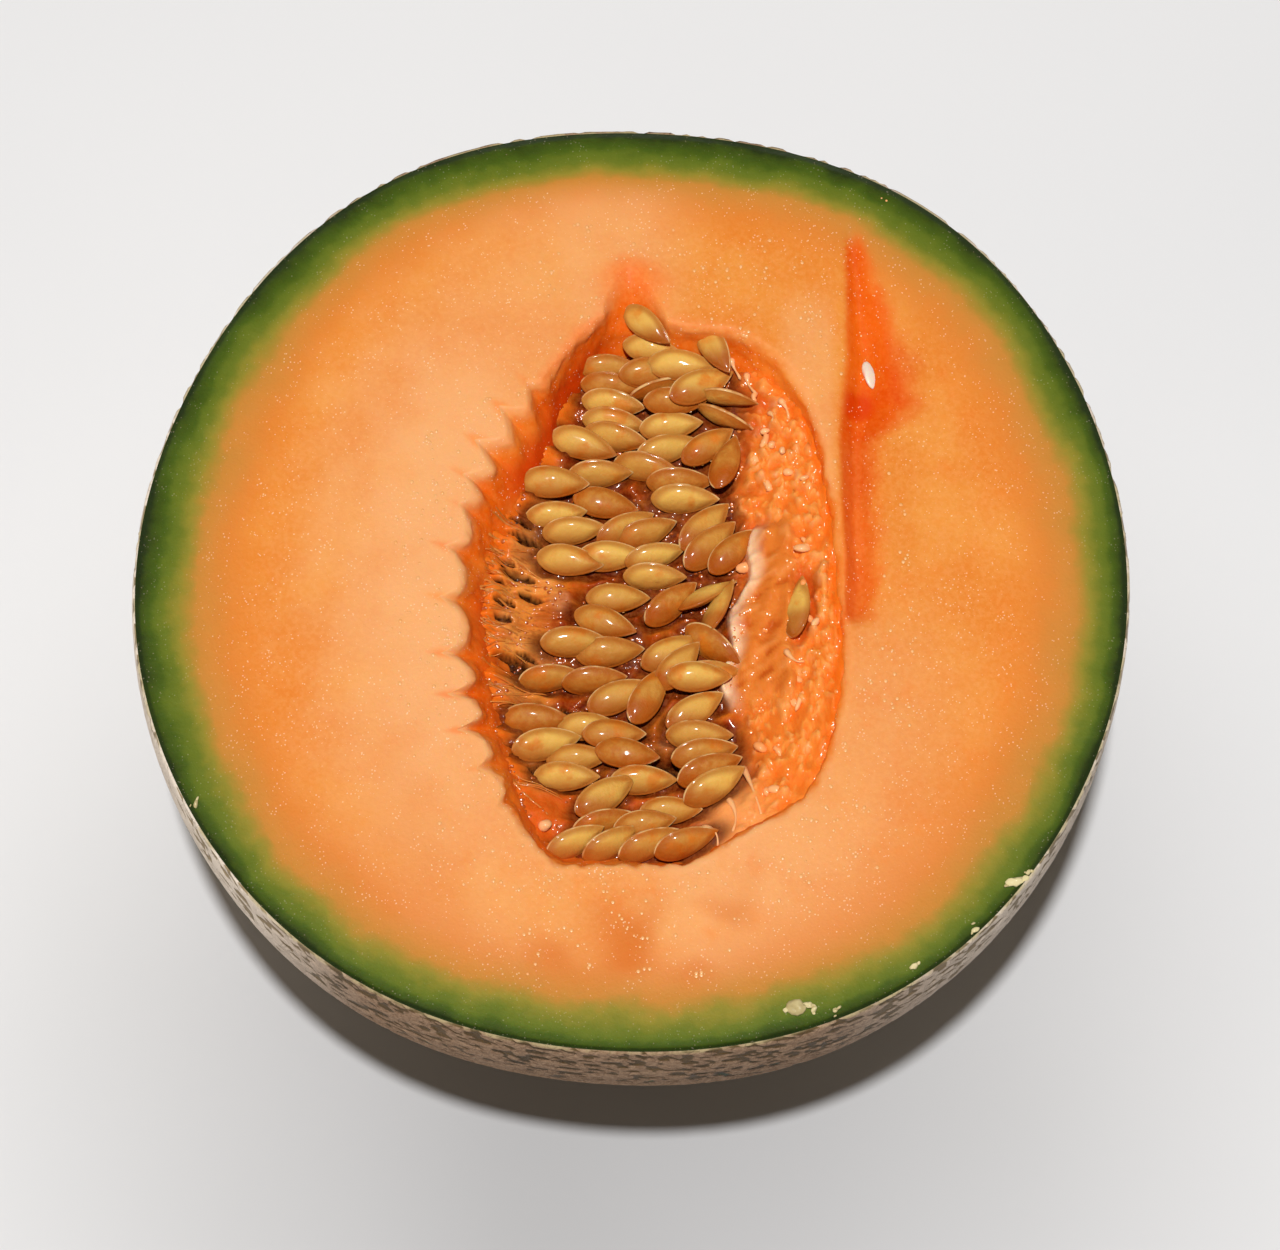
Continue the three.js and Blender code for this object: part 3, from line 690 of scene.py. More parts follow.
def rim_angle(x, y, heading):
    """Angle at which a line from a point of the cut face meets the skin."""
    ahead_x, ahead_y = np.cos(heading), np.sin(heading)
    along = x * ahead_x + y * ahead_y
    radius = MEAN_RADIUS
    for _ in range(4):
        length = np.sqrt(along**2 - x**2 - y**2 + radius**2) - along
        angle = np.arctan2(y + length * ahead_y, x + length * ahead_x)
        radius = rim_radius(angle)
    return angle


def lip_size(turn):
    """Radius of the hollow's rounded edge, larger on the right and at the far cleft."""
    by_cleft = np.clip(1.2 - off_far_cleft(turn), 0, 1)
    return 1.2 + 0.5 * smooth(0, 0.7, np.cos(turn)) + 0.6 * by_cleft


def make_flesh():
    turn = even_turns(FLESH_COLUMNS)
    lip = lip_size(turn)
    start_x, start_y = wall_point(turn, 0.0, -lip)
    out_x, out_y = cleft_offset(turn, 0.0)
    angle = rim_angle(start_x, start_y, column_heading(turn))
    falls = [*np.linspace(LAST_FALL, 0, UNDER_ROWS)[:-1], 0.0015, 0]
    loops = [rind_points(angle, fall, SKIN - 0.1) for fall in falls]
    rim = loops[-1]
    for row in (0.0025, *np.linspace(0, 1, CUT_ROWS)[1:]):
        part = row + ROWS_TO_HOLLOW * math.sin(math.pi * row)
        near = smooth(CLEFT_START, 1, part)
        x = mix(rim[:, 0], start_x, part) + out_x * near
        y = mix(rim[:, 1], start_y, part) + out_y * near
        trench, _ = trench_place(x, y)
        loops.append(np.stack([x, y, HEIGHT - trench], -1))
    for quarter in np.linspace(0, math.pi / 2, LIP_ROWS)[1:]:
        drop = lip * (1 - math.cos(quarter))
        x, y = hollow_edge(turn, drop, lip * (1 - math.sin(quarter)))
        trench, _ = trench_place(x, y)
        loops.append(np.stack([x, y, HEIGHT - np.maximum(drop, trench)], -1))
    for part in np.linspace(0, 1, WALL_ROWS)[1:]:
        depth = mix(lip, FLESH_FLOOR, part**1.15)
        x, y = hollow_edge(turn, depth)
        loops.append(np.stack([x, y, HEIGHT - depth], -1))
    bottom = (-LEAN * HEIGHT, 0, SKIN)
    floor = (HOLLOW_X, HOLLOW_Y, HEIGHT - FLESH_FLOOR)
    points, faces = loft(loops, bottom, floor)
    shape_flesh(points)
    values = flesh_values(points)
    first = len(falls) * FLESH_COLUMNS
    tips = 0.6 * smooth(0.8, 3.2, cleft_reach(turn))
    for row in range(CUT_ROWS):
        spot = slice(first + row * FLESH_COLUMNS, first + (row + 1) * FLESH_COLUMNS)
        near = smooth(CUT_ROWS - TIP_ROWS, CUT_ROWS, row)
        values["wet"][spot] = np.maximum(values["wet"][spot], 0.9 * tips * near)
    return make_object("flesh", points, faces, values)


def shape_flesh(points):
    """Fine relief of the cut face, the trench and the hollow's wall, always into the flesh."""
    depth = HEIGHT - points[:, 2]
    radius = np.hypot(points[:, 0], points[:, 1])
    turn, outward = hollow_place(points[:, 0], points[:, 1])
    near_top = depth < FLESH_FLOOR + 0.5
    inner = near_top & (radius < rim_radius(np.arctan2(points[:, 1], points[:, 0])) - SKIN - 0.3)
    some = points[inner]
    broad = noise_at(some, 11.0, 2.0)
    small = noise_at(some, 2.6, 6.0)
    tiny = noise_at(some, 0.95, 12.0)
    below = depth[inner]
    wall = smooth(0.2, 1.6, below)
    edge = np.maximum(wall, smooth(1.12, 1.03, outward[inner]))
    relief = 0.1 * (1 + broad) + 0.035 * (1 + small) + 0.02 * (1 + tiny)
    points[inner, 2] -= relief * (1 - wall)
    swell = 0.4 * noise_at(some, 3.0, 21.0) + 0.25 * noise_at(some, 1.2, 25.0)
    swell = swell * (1 + 0.3 * smooth(0.3, 0.8, -np.sin(turn[inner])))
    points[inner, 0] += swell * edge * np.cos(turn[inner])
    points[inner, 1] += swell * edge * np.sin(turn[inner])


def flesh_places(points):
    """Where each point is: round the hollow, out of it, below the cut face and in the chamber."""
    x, y, depth = points[:, 0], points[:, 1], HEIGHT - points[:, 2]
    turn, outward = hollow_place(x, y)
    trench, across = trench_place(x, y)
    return SimpleNamespace(
        x=x, y=y, radius=np.hypot(x, y), side=np.cos(turn), far=np.sin(turn),
        core=(outward - 1) * MEAN_HALF, below=depth - np.minimum(trench, depth), across=across,
        notch=np.clip(1.3 - off_far_cleft(turn), 0, 1),
        ragged=noise_at(points, 5.0, 33.0), torn=noise_at(points, 1.6, 35.0),
    )


def skin_distance(at):
    """Distance from the skin, stretched where the green band is thinner than on the left."""
    rim = rim_radius(np.arctan2(at.y, at.x)) - SKIN - at.radius
    near, right, far = -at.y / at.radius, at.x / at.radius, at.y / at.radius
    thinner = 1.5 * smooth(0.1, 0.8, near) + 1.2 * smooth(0.7, 1, right)
    return rim + thinner * smooth(0, 3, rim) + 2.5 * smooth(0.2, 1, far) * smooth(4, 11, rim)


def opened_chamber(at):
    """Where the floor of the opened chamber shows, and where it is bruised or has a painted shadow
    line along its left wall.
    """
    y = at.y + 2 * at.ragged
    ends = smooth(-9, -5.5, y) * (1 - smooth(56, 61, y))
    from_left = smooth(-0.1, 0.12, at.across + 0.04 * at.ragged)
    soft_side = at.across + 0.25 * at.ragged + 0.15 * at.torn
    far_part = smooth(22, 26, at.y)
    to_right = smooth(mix(0.5, 0.8, far_part), mix(1.2, 1.6, far_part), soft_side)
    floor = from_left * (1 - to_right) * ends
    floor = floor * mix(0.75, 1, smooth(22, 26, at.y - 2.5 * (at.across - 0.5) + at.ragged))
    bruise_x, bruise_y, half_x, half_y = BRUISE
    from_bruise = np.hypot((at.x - bruise_x) / half_x, (at.y - bruise_y) / half_y)
    bruise = smooth(1.3, 0.6, from_bruise + 0.2 * at.ragged)
    bruise = bruise * smooth(-0.4, 0.3, at.y - bruise_y + half_y - 0.35 * (at.x - bruise_x))
    # Painted shadow: a darker line along the chamber's left wall, given with the bruise.
    line = smooth(0.02, 0.1, at.across) * smooth(0.42, 0.26, at.across + 0.05 * at.ragged)
    return floor, np.maximum(bruise, 0.6 * line * smooth(24, 20, at.y) * ends)


def hollow_masks(at):
    """Where a point is in the hollow's wall, wet as the wall is, and deep orange, which is partly
    painted shade.
    """
    soft = 1.5 + 1.6 * smooth(-0.2, 0.6, at.far - at.side)
    in_wall = smooth(0.1, soft, at.below + 0.4 * at.ragged + 0.2 * at.torn)
    in_wall = in_wall * (at.radius < WELL_INSIDE)
    right = smooth(-0.1, 0.6, at.side + 0.5 * at.far)
    far_left = smooth(0.35, 0.8, at.far) * smooth(0.35, 0.0, at.side)
    halo = 1 - smooth(0.0, 2.6, at.core + 0.8 * at.ragged + 0.4 * at.torn)
    halo = halo * np.maximum(0.2 * right, 0.6 * far_left)
    halo = np.maximum(halo, 0.75 * at.notch * smooth(9.5, 5.5, at.core + 0.8 * at.ragged))
    upper = smooth(-0.5, 0.5, at.far)
    # Partly painted shade: the wall's orange darkens further down the hollow.
    deep = smooth(1.8, 6.5, at.below + 0.8 * at.ragged) * (at.radius < WELL_INSIDE)
    dull_patch = smooth(-4, 3, at.y) * smooth(20, 13, at.y) * smooth(-13, -18, at.x)
    deep = deep * (0.35 + 0.65 * upper) * (1 - right) * (1 - 0.8 * dull_patch) * (1 - 0.8 * at.notch)
    return in_wall, np.clip(np.maximum(in_wall, halo), 0, 1), deep


def pale_flesh(at):
    """The paler flesh round the hollow, widest on the left, and the strip beside the chamber."""
    core, far, right = at.core, at.far, at.side
    left = smooth(-0.25, 0.6, -right) * smooth(-1.05, -0.35, far)
    left = left * mix(1, 0.5, smooth(0.5, 0.8, far))
    top = 0.65 * smooth(0.2, 0.8, far) * smooth(0.3, -0.1, right) * smooth(-0.7, -0.3, right)
    near = 0.5 * smooth(0.1, -0.4, far) * smooth(-0.2, 0.3, right) + 0.3 * smooth(-0.5, -0.9, far)
    pale = np.maximum(left, top) * (1 - smooth(8, 44, core + 5 * at.ragged))
    pale = pale + near * (1 - smooth(8, 34, core)) + 0.3 * (1 - smooth(0, 2.5, core))
    strip = 0.5 * smooth(22, 26, at.x) * smooth(33, 30.5, at.x)
    return pale + strip * smooth(-8, 2, at.y) * smooth(52, 42, at.y)


def dusky_flesh(at, cloudy):
    """The duller flesh towards the near side."""
    out = at.core + 2 * at.ragged
    dusk = smooth(0.8, 1, -at.far) * smooth(3, 10, out) * cloudy
    return np.maximum(dusk, 0.35 * smooth(0.2, 0.7, -at.far) * smooth(8, 18, out))


def flesh_values(points):
    """Distance from the skin, and where the flesh is wet, deep (partly painted shade), split,
    bruised or under a painted shadow line, pale or dusky.
    """
    at = flesh_places(points)
    rim = skin_distance(at)
    in_wall, wet, deep = hollow_masks(at)
    floor, bruise = opened_chamber(at)
    inland = smooth(9, 16, rim)
    cloudy = smooth(-0.5, 0.4, noise_at(points, 9.0, 44.0))
    pale = np.clip(pale_flesh(at) * inland, 0, 1) * (1 - in_wall) * (1 - floor)
    dusk = dusky_flesh(at, cloudy) * inland * (1 - in_wall)
    return dict(rim=rim, wet=wet, deep=deep, split=floor, bruise=bruise, pale=pale, dusk=dusk)


# Pulp: the filling of the hollow, reaching just into the wall
PULP_COLUMNS = 470
PULP_ROWS = 92
PULP_REACH = 0.8
PULP_BELOW_CUT = 0.35
FLOOR_GAP = 0.6
GROOVE_WIDTH, GROOVE_DEPTH = 0.8, 1.1
LEFT_CLIMB = 1.2
# Holes between the fibres: x, y, half sizes and depth
PITS = (
    (-17.3, 9.4, 2.6, 0.9, 3.0), (-19.7, 14.1, 1.3, 0.6, 2.0), (-17.8, 12.2, 1.2, 0.6, 2.0),
    (-20.4, 5.3, 1.4, 0.8, 2.4), (-18.2, 3.2, 2.0, 0.9, 2.8), (-21.6, 2.0, 1.0, 0.6, 2.0),
    (-16.1, -0.2, 1.4, 0.6, 2.0), (-20.2, -1.4, 1.2, 0.8, 2.2), (-20.3, -4.4, 1.0, 0.7, 2.0),
    (-19.0, -11.7, 2.2, 1.5, 3.6), (-16.6, -10.3, 1.3, 0.6, 2.0), (-17.6, -26.8, 1.3, 0.8, 2.4),
    (-13.7, -29.8, 1.8, 0.9, 2.8), (-8.7, -19.3, 1.9, 0.5, 1.6), (6.4, -29.3, 2.6, 1.6, 2.6),
)
PIT_LONGER, PIT_LOWER = 1.35, 0.88
# Patches of pale film between the seeds: x, y and size
MEMBRANES = ((5.6, 16.5, 3.6), (-11.5, -0.7, 2.8), (3.0, 4.4, 1.8), (5.8, -24.5, 2.6))


def fleshy_sheet(x, y):
    """The smooth flap on the right of the seeds: 1 on it, and 1 along its pale left edge."""
    left = 18.6 - 4.6 * smooth(-12, 12, -y) + 0.8 * np.sin(y * 0.55)
    ends = smooth(-20, -16, y) * (1 - smooth(9.5, 13, y))
    on = smooth(0, 0.8, x - left) * (1 - smooth(24.0, 26.2, x)) * ends
    edge = (1 - smooth(0.6, 3.6, x - left)) * on
    return on, edge


def wall_rise(turn, outward):
    """Extra height of the pulp where it climbs the left wall."""
    contact = wall_shrink(turn, wall_contact(turn))
    return LEFT_CLIMB * smooth(-0.2, 0.02, outward - contact) * smooth(0.15, 0.85, -np.cos(turn))


def pulp_relief(x, y):
    """Height added to the pulp, and where its kinds of surface lie."""
    flat = flat_points(x, y)
    turn, outward = hollow_place(x, y)
    broad = noise_at(flat, 7.0, 1.0)
    middle = noise_at(flat, 2.8, 4.0)
    fine = noise_at(flat, 1.1, 7.0)
    right = smooth(15.0, 19.5, x + 1.5 * broad)
    low = smooth(31, 36, -y) * (1 - right)
    left = smooth(10.5, 14.5, -x + 1.5 * broad) * (1 - low)
    sheet, sheet_edge = fleshy_sheet(x, y)
    mush = 0.9 * noise_at(flat + 0.8 * middle[:, None], 2.4, 52.0) + 0.5 * noise_at(flat, 1.2, 55.0)
    grainy = right * (1 - sheet) * smooth(0.995, 0.96, outward)
    nearest, second = cells_at(flat + 0.9 * np.stack([middle, fine, broad], -1), 1.9)
    lumps = smooth(0.03, 0.4, second - nearest)
    streaks = noise_at(flat * (0.15, 1, 1) + 0.5 * np.stack([middle, broad, broad], -1), 0.7, 14.0)
    coarse = noise_at(flat * (0.25, 1, 1) + 0.6 * np.stack([middle, broad, broad], -1), 1.9, 16.0)
    height = grainy * (0.9 * mush + 1.1 * (lumps - 0.6) * (1 + mush))
    height = height + left * (0.65 * streaks + 0.9 * coarse) + 0.35 * middle
    height = height + (1 - right) * (1 - left) * (0.35 * streaks + 0.55 * coarse)
    height = height + 0.5 * broad * (1 - right)
    membrane = np.zeros_like(x)
    for film_x, film_y, size in MEMBRANES:
        apart = np.hypot(x - film_x, (y - film_y) * 1.3) / size + 0.35 * middle
        membrane = np.maximum(membrane, 1 - smooth(0.5, 1.1, apart))
    height = height + 0.6 * membrane * (1 - right)
    folds = noise_at(flat @ turned("z", 25) * (0.25, 1, 1), 1.2, 19.0) + 0.4 * fine + 0.3 * middle
    height = height + sheet * (1.5 + 0.5 * folds) - 0.5 * sheet_edge + wall_rise(turn, outward)
    pit = np.zeros_like(x)
    for pit_x, pit_y, half_x, half_y, deep in PITS:
        along = (x - pit_x - 0.25 * fine) / (half_x * PIT_LONGER)
        across = (y - pit_y + 0.25 * (x - pit_x) - 0.3 * middle) / (half_y * PIT_LOWER)
        hole = 1 - smooth(0.85, 1.15, np.hypot(along, across))
        height = height - deep * hole
        pit = np.maximum(pit, hole)
    masks = SimpleNamespace(
        x=x, turn=turn, past_wall=outward - wall_shrink(turn, wall_contact(turn)), outward=outward,
        right=right, left=left, low=low, sheet=sheet, sheet_edge=sheet_edge, grainy=grainy,
        mush=mush, lumps=lumps, folds=folds, membrane=membrane, pit=pit,
        broad=broad, middle=middle, fine=fine, coarse=coarse, streaks=streaks,
    )
    return height, masks


def pulp_tint(on):
    """The pulp's colours: each layer covers a part of those before it; several are painted light and
    shade.
    """
    side, along = np.cos(on.turn), np.sin(on.turn)
    thread = (1 - smooth(0.0, 0.1, np.abs(on.streaks))) * smooth(-0.3, 0.3, on.middle)
    climb = smooth(-0.1, 0.0, on.past_wall) * smooth(0.1, 0.6, -side)
    lit_lump_tops = on.grainy * smooth(0.4, 0.9, on.lumps) * smooth(-0.4, 0.5, on.mush)
    shade_near_seeds = smooth(21.0, 16.5, on.x + 1.2 * on.middle) * on.right
    crease = smooth(0.93, 0.985, on.outward + 0.02 * on.middle) * smooth(-0.3, 0.4, side)
    crease = crease * mix(0.35, 0.9, smooth(-0.8, -0.4, along))
    shelf = smooth(7, 14, on.x) * smooth(-0.72, -0.86, along) * smooth(0.55, 0.75, on.outward)
    layers = (
        # Painted light and shade: lighter where the folds rise, darker where they sink.
        (0.8 * smooth(-0.1, 0.5, on.coarse), "d6741a"),
        (0.8 * smooth(0.0, 0.5, -on.coarse), "781200"),
        (on.membrane * (0.7 + 0.4 * on.fine), "c98656"),
        (on.left, "e48834"),
        # On the left too: painted light on the raised folds and broad swells, painted shade in the
        # low folds and streaks.
        (on.left * smooth(0.0, 0.5, on.coarse) * 0.8, "ee9c48"),
        (on.left * smooth(0.1, 0.5, -on.coarse) * 0.6, "b84404"),
        (on.left * smooth(0.1, 0.5, -on.streaks) * 0.45, "902e02"),
        (on.left * smooth(0.0, 0.5, on.broad) * 0.4, "de9450"),
        (thread * (0.35 + 0.35 * on.left) * (1 - on.right), "7c2604"),
        (climb, "ea6e12"),
        (on.low, "d65a10"),
        (on.right, "f5943c"),
        # Painted highlight on the lumps' tops, and painted shade between the lumps and in the low
        # mush.
        (lit_lump_tops, "f7a258"),
        (on.grainy * on.lumps * smooth(0.1, 0.6, on.fine) * 0.6, "fcbc84"),
        (on.grainy * smooth(0.5, 0.1, on.lumps) * 0.7, "ea701a"),
        (on.grainy * smooth(0.05, 0.5, -on.mush) * 0.5, "e4640e"),
        # Painted shade in the low mush beside the seeds.
        (shade_near_seeds * smooth(0.3, -0.3, on.mush) * 0.8, "a83c08"),
        (on.sheet * 0.95, "e07a2a"),
        # On the flap: painted shade in its fold valleys and painted light on its ridges.
        (on.sheet * smooth(0.05, 0.5, -on.folds) * 0.85, "c4500c"),
        (on.sheet * smooth(0.1, 0.6, on.folds) * 0.6, "f29a50"),
        (on.sheet_edge * (0.9 + 0.3 * on.fine), "ffdcb2"),
        (crease, "f06804"),
        (shelf * 0.85, "f6a45c"),
        # Painted shade in the groove round each seed, orange on the right and near black elsewhere.
        (on.groove * on.right * 0.7, "c63a00"),
        (on.groove * (1 - on.right) * 0.9, "500e00"),
        # Painted shade: the holes between the fibres are tinted near black.
        (on.pit * 1.5, "220300"),
    )
    tint = np.tile(linear("b84604"), (len(on.x), 1))
    for part, colour in layers:
        part = np.clip(part, 0, 1)[:, None]
        tint = tint * (1 - part) + np.array(linear(colour)) * part
    return tint


def seed_gap(x, y, laid):
    """Distance in plan from each point to the nearest seed's outline, in millimetres."""
    gap = np.full(len(x), math.inf)
    for seed in laid:
        from_x, from_y = x - seed["centre"][0], y - seed["centre"][1]
        ahead_x, ahead_y, flatness = seed["spin"][0, 0], seed["spin"][1, 0], abs(seed["spin"][2, 2])
        along = from_x * ahead_x + from_y * ahead_y
        across = from_y * ahead_x - from_x * ahead_y
        half = mix(SEED_THICKNESS / 2, seed["width"] / 2, flatness)
        reach = np.hypot(along / (seed["length"] / 2), across / half)
        gap = np.minimum(gap, np.maximum(reach - 1, 0) * half)
    return gap


def make_pulp(laid):
    turn = even_turns(PULP_COLUMNS)
    floor = FLESH_FLOOR - FLOOR_GAP
    edge_depth = wall_contact(turn) - wall_rise(turn, np.ones_like(turn))
    rim_x, rim_y = wall_point(turn, edge_depth, -PULP_REACH)
    low_x, low_y = wall_point(turn, floor, -PULP_REACH)
    inward = np.linspace(0, 1, PULP_ROWS + 1)[:-1]
    flat_x = np.concatenate([mix(rim_x, HOLLOW_X, part) for part in inward])
    flat_y = np.concatenate([mix(rim_y, HOLLOW_Y, part) for part in inward])
    height, masks = pulp_relief(flat_x, flat_y)
    gap = seed_gap(flat_x, flat_y, laid)
    # The groove round each seed lowers the pulp; the tint also paints shade in it.
    masks.groove = np.exp(-((gap / GROOVE_WIDTH) ** 2)) * (1 - masks.sheet)
    level = HEIGHT - pulp_depth(flat_x, flat_y) + height - GROOVE_DEPTH * masks.groove
    top = np.stack([flat_x, flat_y, np.minimum(level, HEIGHT - PULP_BELOW_CUT)], -1)
    bottom = np.stack([low_x, low_y, np.full_like(turn, HEIGHT - floor)], -1)
    middle = (HOLLOW_X, HOLLOW_Y, HEIGHT - float(pulp_depth(HOLLOW_X, HOLLOW_Y)))
    loops = [bottom, *np.split(top, PULP_ROWS)]
    points, faces = loft(loops, (HOLLOW_X, HOLLOW_Y, HEIGHT - floor), middle)
    tint = pulp_tint(masks)
    side = np.tile(linear("c8612c"), (PULP_COLUMNS, 1))
    tint = np.concatenate([side, tint, side[:1], tint[-1:]])
    return make_object("pulp", points, faces, {"tint": tint})


def pulp_level(x, y):
    """Height of the finished pulp at some points, or of the wall where that stands higher."""
    x, y = np.atleast_1d(np.asarray(x, float)), np.atleast_1d(np.asarray(y, float))
    height, _ = pulp_relief(x, y)
    return np.maximum(HEIGHT - pulp_depth(x, y) + height, HEIGHT - wall_depth(x, y))


# Seeds
def turned(axis, degrees):
    angle = math.radians(degrees)
    return np.array(Euler([angle * (axis == name) for name in "xyz"]).to_matrix())


def seed_top(seed, x, y):
    """Height of a laid seed's upper face over a point, or minus infinity beside the seed."""
    up = seed["spin"][:, 2]
    local_x, local_y = x - seed["centre"][0], y - seed["centre"][1]
    rise = -(local_x * up[0] + local_y * up[1]) / up[2]
    place = seed["spin"].T @ (local_x, local_y, rise)
    reach = math.hypot(place[0] / (seed["length"] / 2), place[1] / (seed["width"] / 2))
    if reach > 1:
        return -math.inf
    return seed["centre"][2] + rise + SEED_THICKNESS / 2 * math.sqrt(1 - reach**2) / up[2]


def lay_seed(x, y, yaw, tilt, index, laid):
    """A seed drops until a corner of it meets the pulp or a seed already there."""
    growth = 1 + 0.14 * wobble(index * 5)
    spin = turned("z", yaw) @ turned("x", tilt) @ turned("y", 10 * wobble(index))
    seed = dict(length=SEED_LENGTH * growth, width=SEED_WIDTH * growth, spin=spin)
    touching = []
    for along, across in ((0, 0), (0.8, 0), (-0.8, 0), (0, 0.8), (0, -0.8)):
        corner = spin @ (along * seed["length"] / 2, across * seed["width"] / 2, 0)
        at = (x + corner[0], y + corner[1])
        tops = [seed_top(other, *at) for other in laid]
        touching.append(max([rest_height(*at)] + tops) - corner[2])
    sink = SINK_FLAT + SINK_ON_EDGE * math.sin(math.radians(tilt)) ** 2
    rest = max(touching) + SEED_THICKNESS / 2 - sink
    highest = min(rest_height(x, y) + SEED_STACK, HEIGHT - SEED_BELOW_CUT)
    seed["centre"] = np.array([x, y, min(rest, highest)])
    return seed


def lay_all_seeds():
    laid = []
    for x, y, count, step_x, step_y, yaw, turn, tilt, *tone in SEED_STRINGS:
        for place in range(count):
            index = len(laid)
            spot = (x + place * step_x, y + place * step_y)
            seed = lay_seed(*spot, yaw + place * turn, tilt, index, laid)
            mixed_tone = min(max(0.55 + 1.1 * wobble(index * 11), 0), 1)
            seed["tone"] = tone[0] if tone else mixed_tone
            laid.append(seed)
    return laid


# Each seed: its loops from the margin to the middle, which is off centre, and its raised rim
SEED_SIDES = 36
SEED_RINGS = (1.0, 0.99, 0.97, 0.94, 0.905, 0.88, 0.84, 0.77, 0.67, 0.54, 0.38, 0.2)
SEED_BLUNT, SEED_POINTED = 0.57, 0.84
SEED_OFF_CENTRE = 0.12
RIM_RING = 0.9
RIM_THICK = 0.26


def seed_outline(turn):
    """An almond: round at the blunt end and narrowed to a point at the other."""
    along = -np.cos(turn)
    part = (1 + along) / 2
    widest = SEED_BLUNT / (SEED_BLUNT + SEED_POINTED)
    half = part**SEED_BLUNT * (1 - part) ** SEED_POINTED
    return along, np.sign(np.sin(turn)) * half / (widest**SEED_BLUNT * (1 - widest) ** SEED_POINTED)


def seed_thickness(ring):
    """Half thickness from the middle (0) to the margin (1): a low dome inside a thin raised rim."""
    if ring >= RIM_RING:
        return RIM_THICK * math.sqrt(max(1 - ((ring - RIM_RING) / (1 - RIM_RING)) ** 2, 0))
    return RIM_THICK - 0.05 + (1.05 - RIM_THICK) * (1 - (ring / RIM_RING) ** 2.6) ** 0.8


def seed_shape(index):
    """Points and faces of one seed, with 1 at its margin and 0 in its middle."""
    along, across = seed_outline(round_turns(SEED_SIDES, 0.5))
    bend = 0.5 * wobble(index * 7)
    loops, margins = [], []
    for face in (-1, 1):
        rings = SEED_RINGS if face == 1 else SEED_RINGS[:0:-1]
        for ring in rings:
            place = along * ring - SEED_OFF_CENTRE * (1 - ring)
            thinner = 1 - 0.25 * np.clip(place, 0, 1)
            height = face * seed_thickness(ring) * SEED_THICKNESS / 2 * thinner + bend * place**2
            y = across * ring * SEED_WIDTH / 2
            loops.append(np.stack([place * SEED_LENGTH / 2, y, height], -1))
            margins.append(ring - 0.16 * smooth(0.3, -0.5, across) * smooth(0.75, 0.3, along))
    middle = -SEED_OFF_CENTRE * SEED_LENGTH / 2
    ends = [(middle, 0, face * SEED_THICKNESS / 2) for face in (-1, 1)]
    points, faces = loft(loops, *ends)
    uneven = 0.09 * noise_at(points, 3.2, index * 3.7) + 0.03 * noise_at(points, 1.1, index * 1.7)
    points[:, 2] += uneven
    return points, faces, np.concatenate(margins + [[0, 0]])


def make_seeds(laid):
    pieces, margins, nearer = [], [], []
    for index, seed in enumerate(laid):
        points, faces, margin = seed_shape(index)
        growth = seed["length"] / SEED_LENGTH
        placed = (points * (growth, growth, 1)) @ seed["spin"].T + seed["centre"]
        pieces.append((placed, faces, seed["tone"]))
        margins.append(margin)
        # Painted shade on each seed's near side, fading out at about its middle.
        nearer.append(smooth(0.3, -2.3, (placed - seed["centre"])[:, 1]))
    margin, nearer = np.concatenate(margins), np.concatenate(nearer)
    return joined_object("seeds", pieces, margin=margin, nearer=nearer)


# Fibres, pale bits and beads
def tube(path, radii, sides, flatness=1.0):
    """A closed tube along a path, pointed at both ends; its height is its width by the flatness."""
    path, radii = np.asarray(path, float), np.asarray(radii, float)
    ahead = np.gradient(path, axis=0)
    ahead /= np.linalg.norm(ahead, axis=1)[:, None]
    across = np.cross(ahead, (0.03, 0.05, 1))
    across /= np.linalg.norm(across, axis=1)[:, None]
    over = np.cross(across, ahead) * flatness
    turn = round_turns(sides)
    loops = []
    for k in range(1, len(path) - 1):
        spoke = np.cos(turn)[:, None] * across[k] + np.sin(turn)[:, None] * over[k]
        loops.append(path[k] + radii[k] * spoke)
    return loft(loops, path[0], path[-1])


def evened(values, reach):
    """A running mean of values along a path, over the given number of points to each side."""
    width = 2 * reach + 1
    return np.convolve(np.pad(values, reach, mode="edge"), np.ones(width) / width, mode="valid")


def sunk_ends(height, tip, next_to_tip):
    """Lowers the two points at each end of a path, so that it dips into the pulp."""
    height[[0, 1, -2, -1]] -= (tip, next_to_tip, next_to_tip, tip)
    return height


FIBRE_COUNT = 64
FIBRE_POINTS = 17
FIBRE_START_Y = (-34, 14)
FIBRE_START_DEPTH = (4.5, 7.5)
FIBRE_LENGTH = (3, 10)
FIBRE_SLANT = (-0.22, 0.3)
FIBRE_RADIUS = (0.07, 0.2)
FIBRE_BRIDGE = (-0.1, 0.15)
FIBRE_SIDES = 8


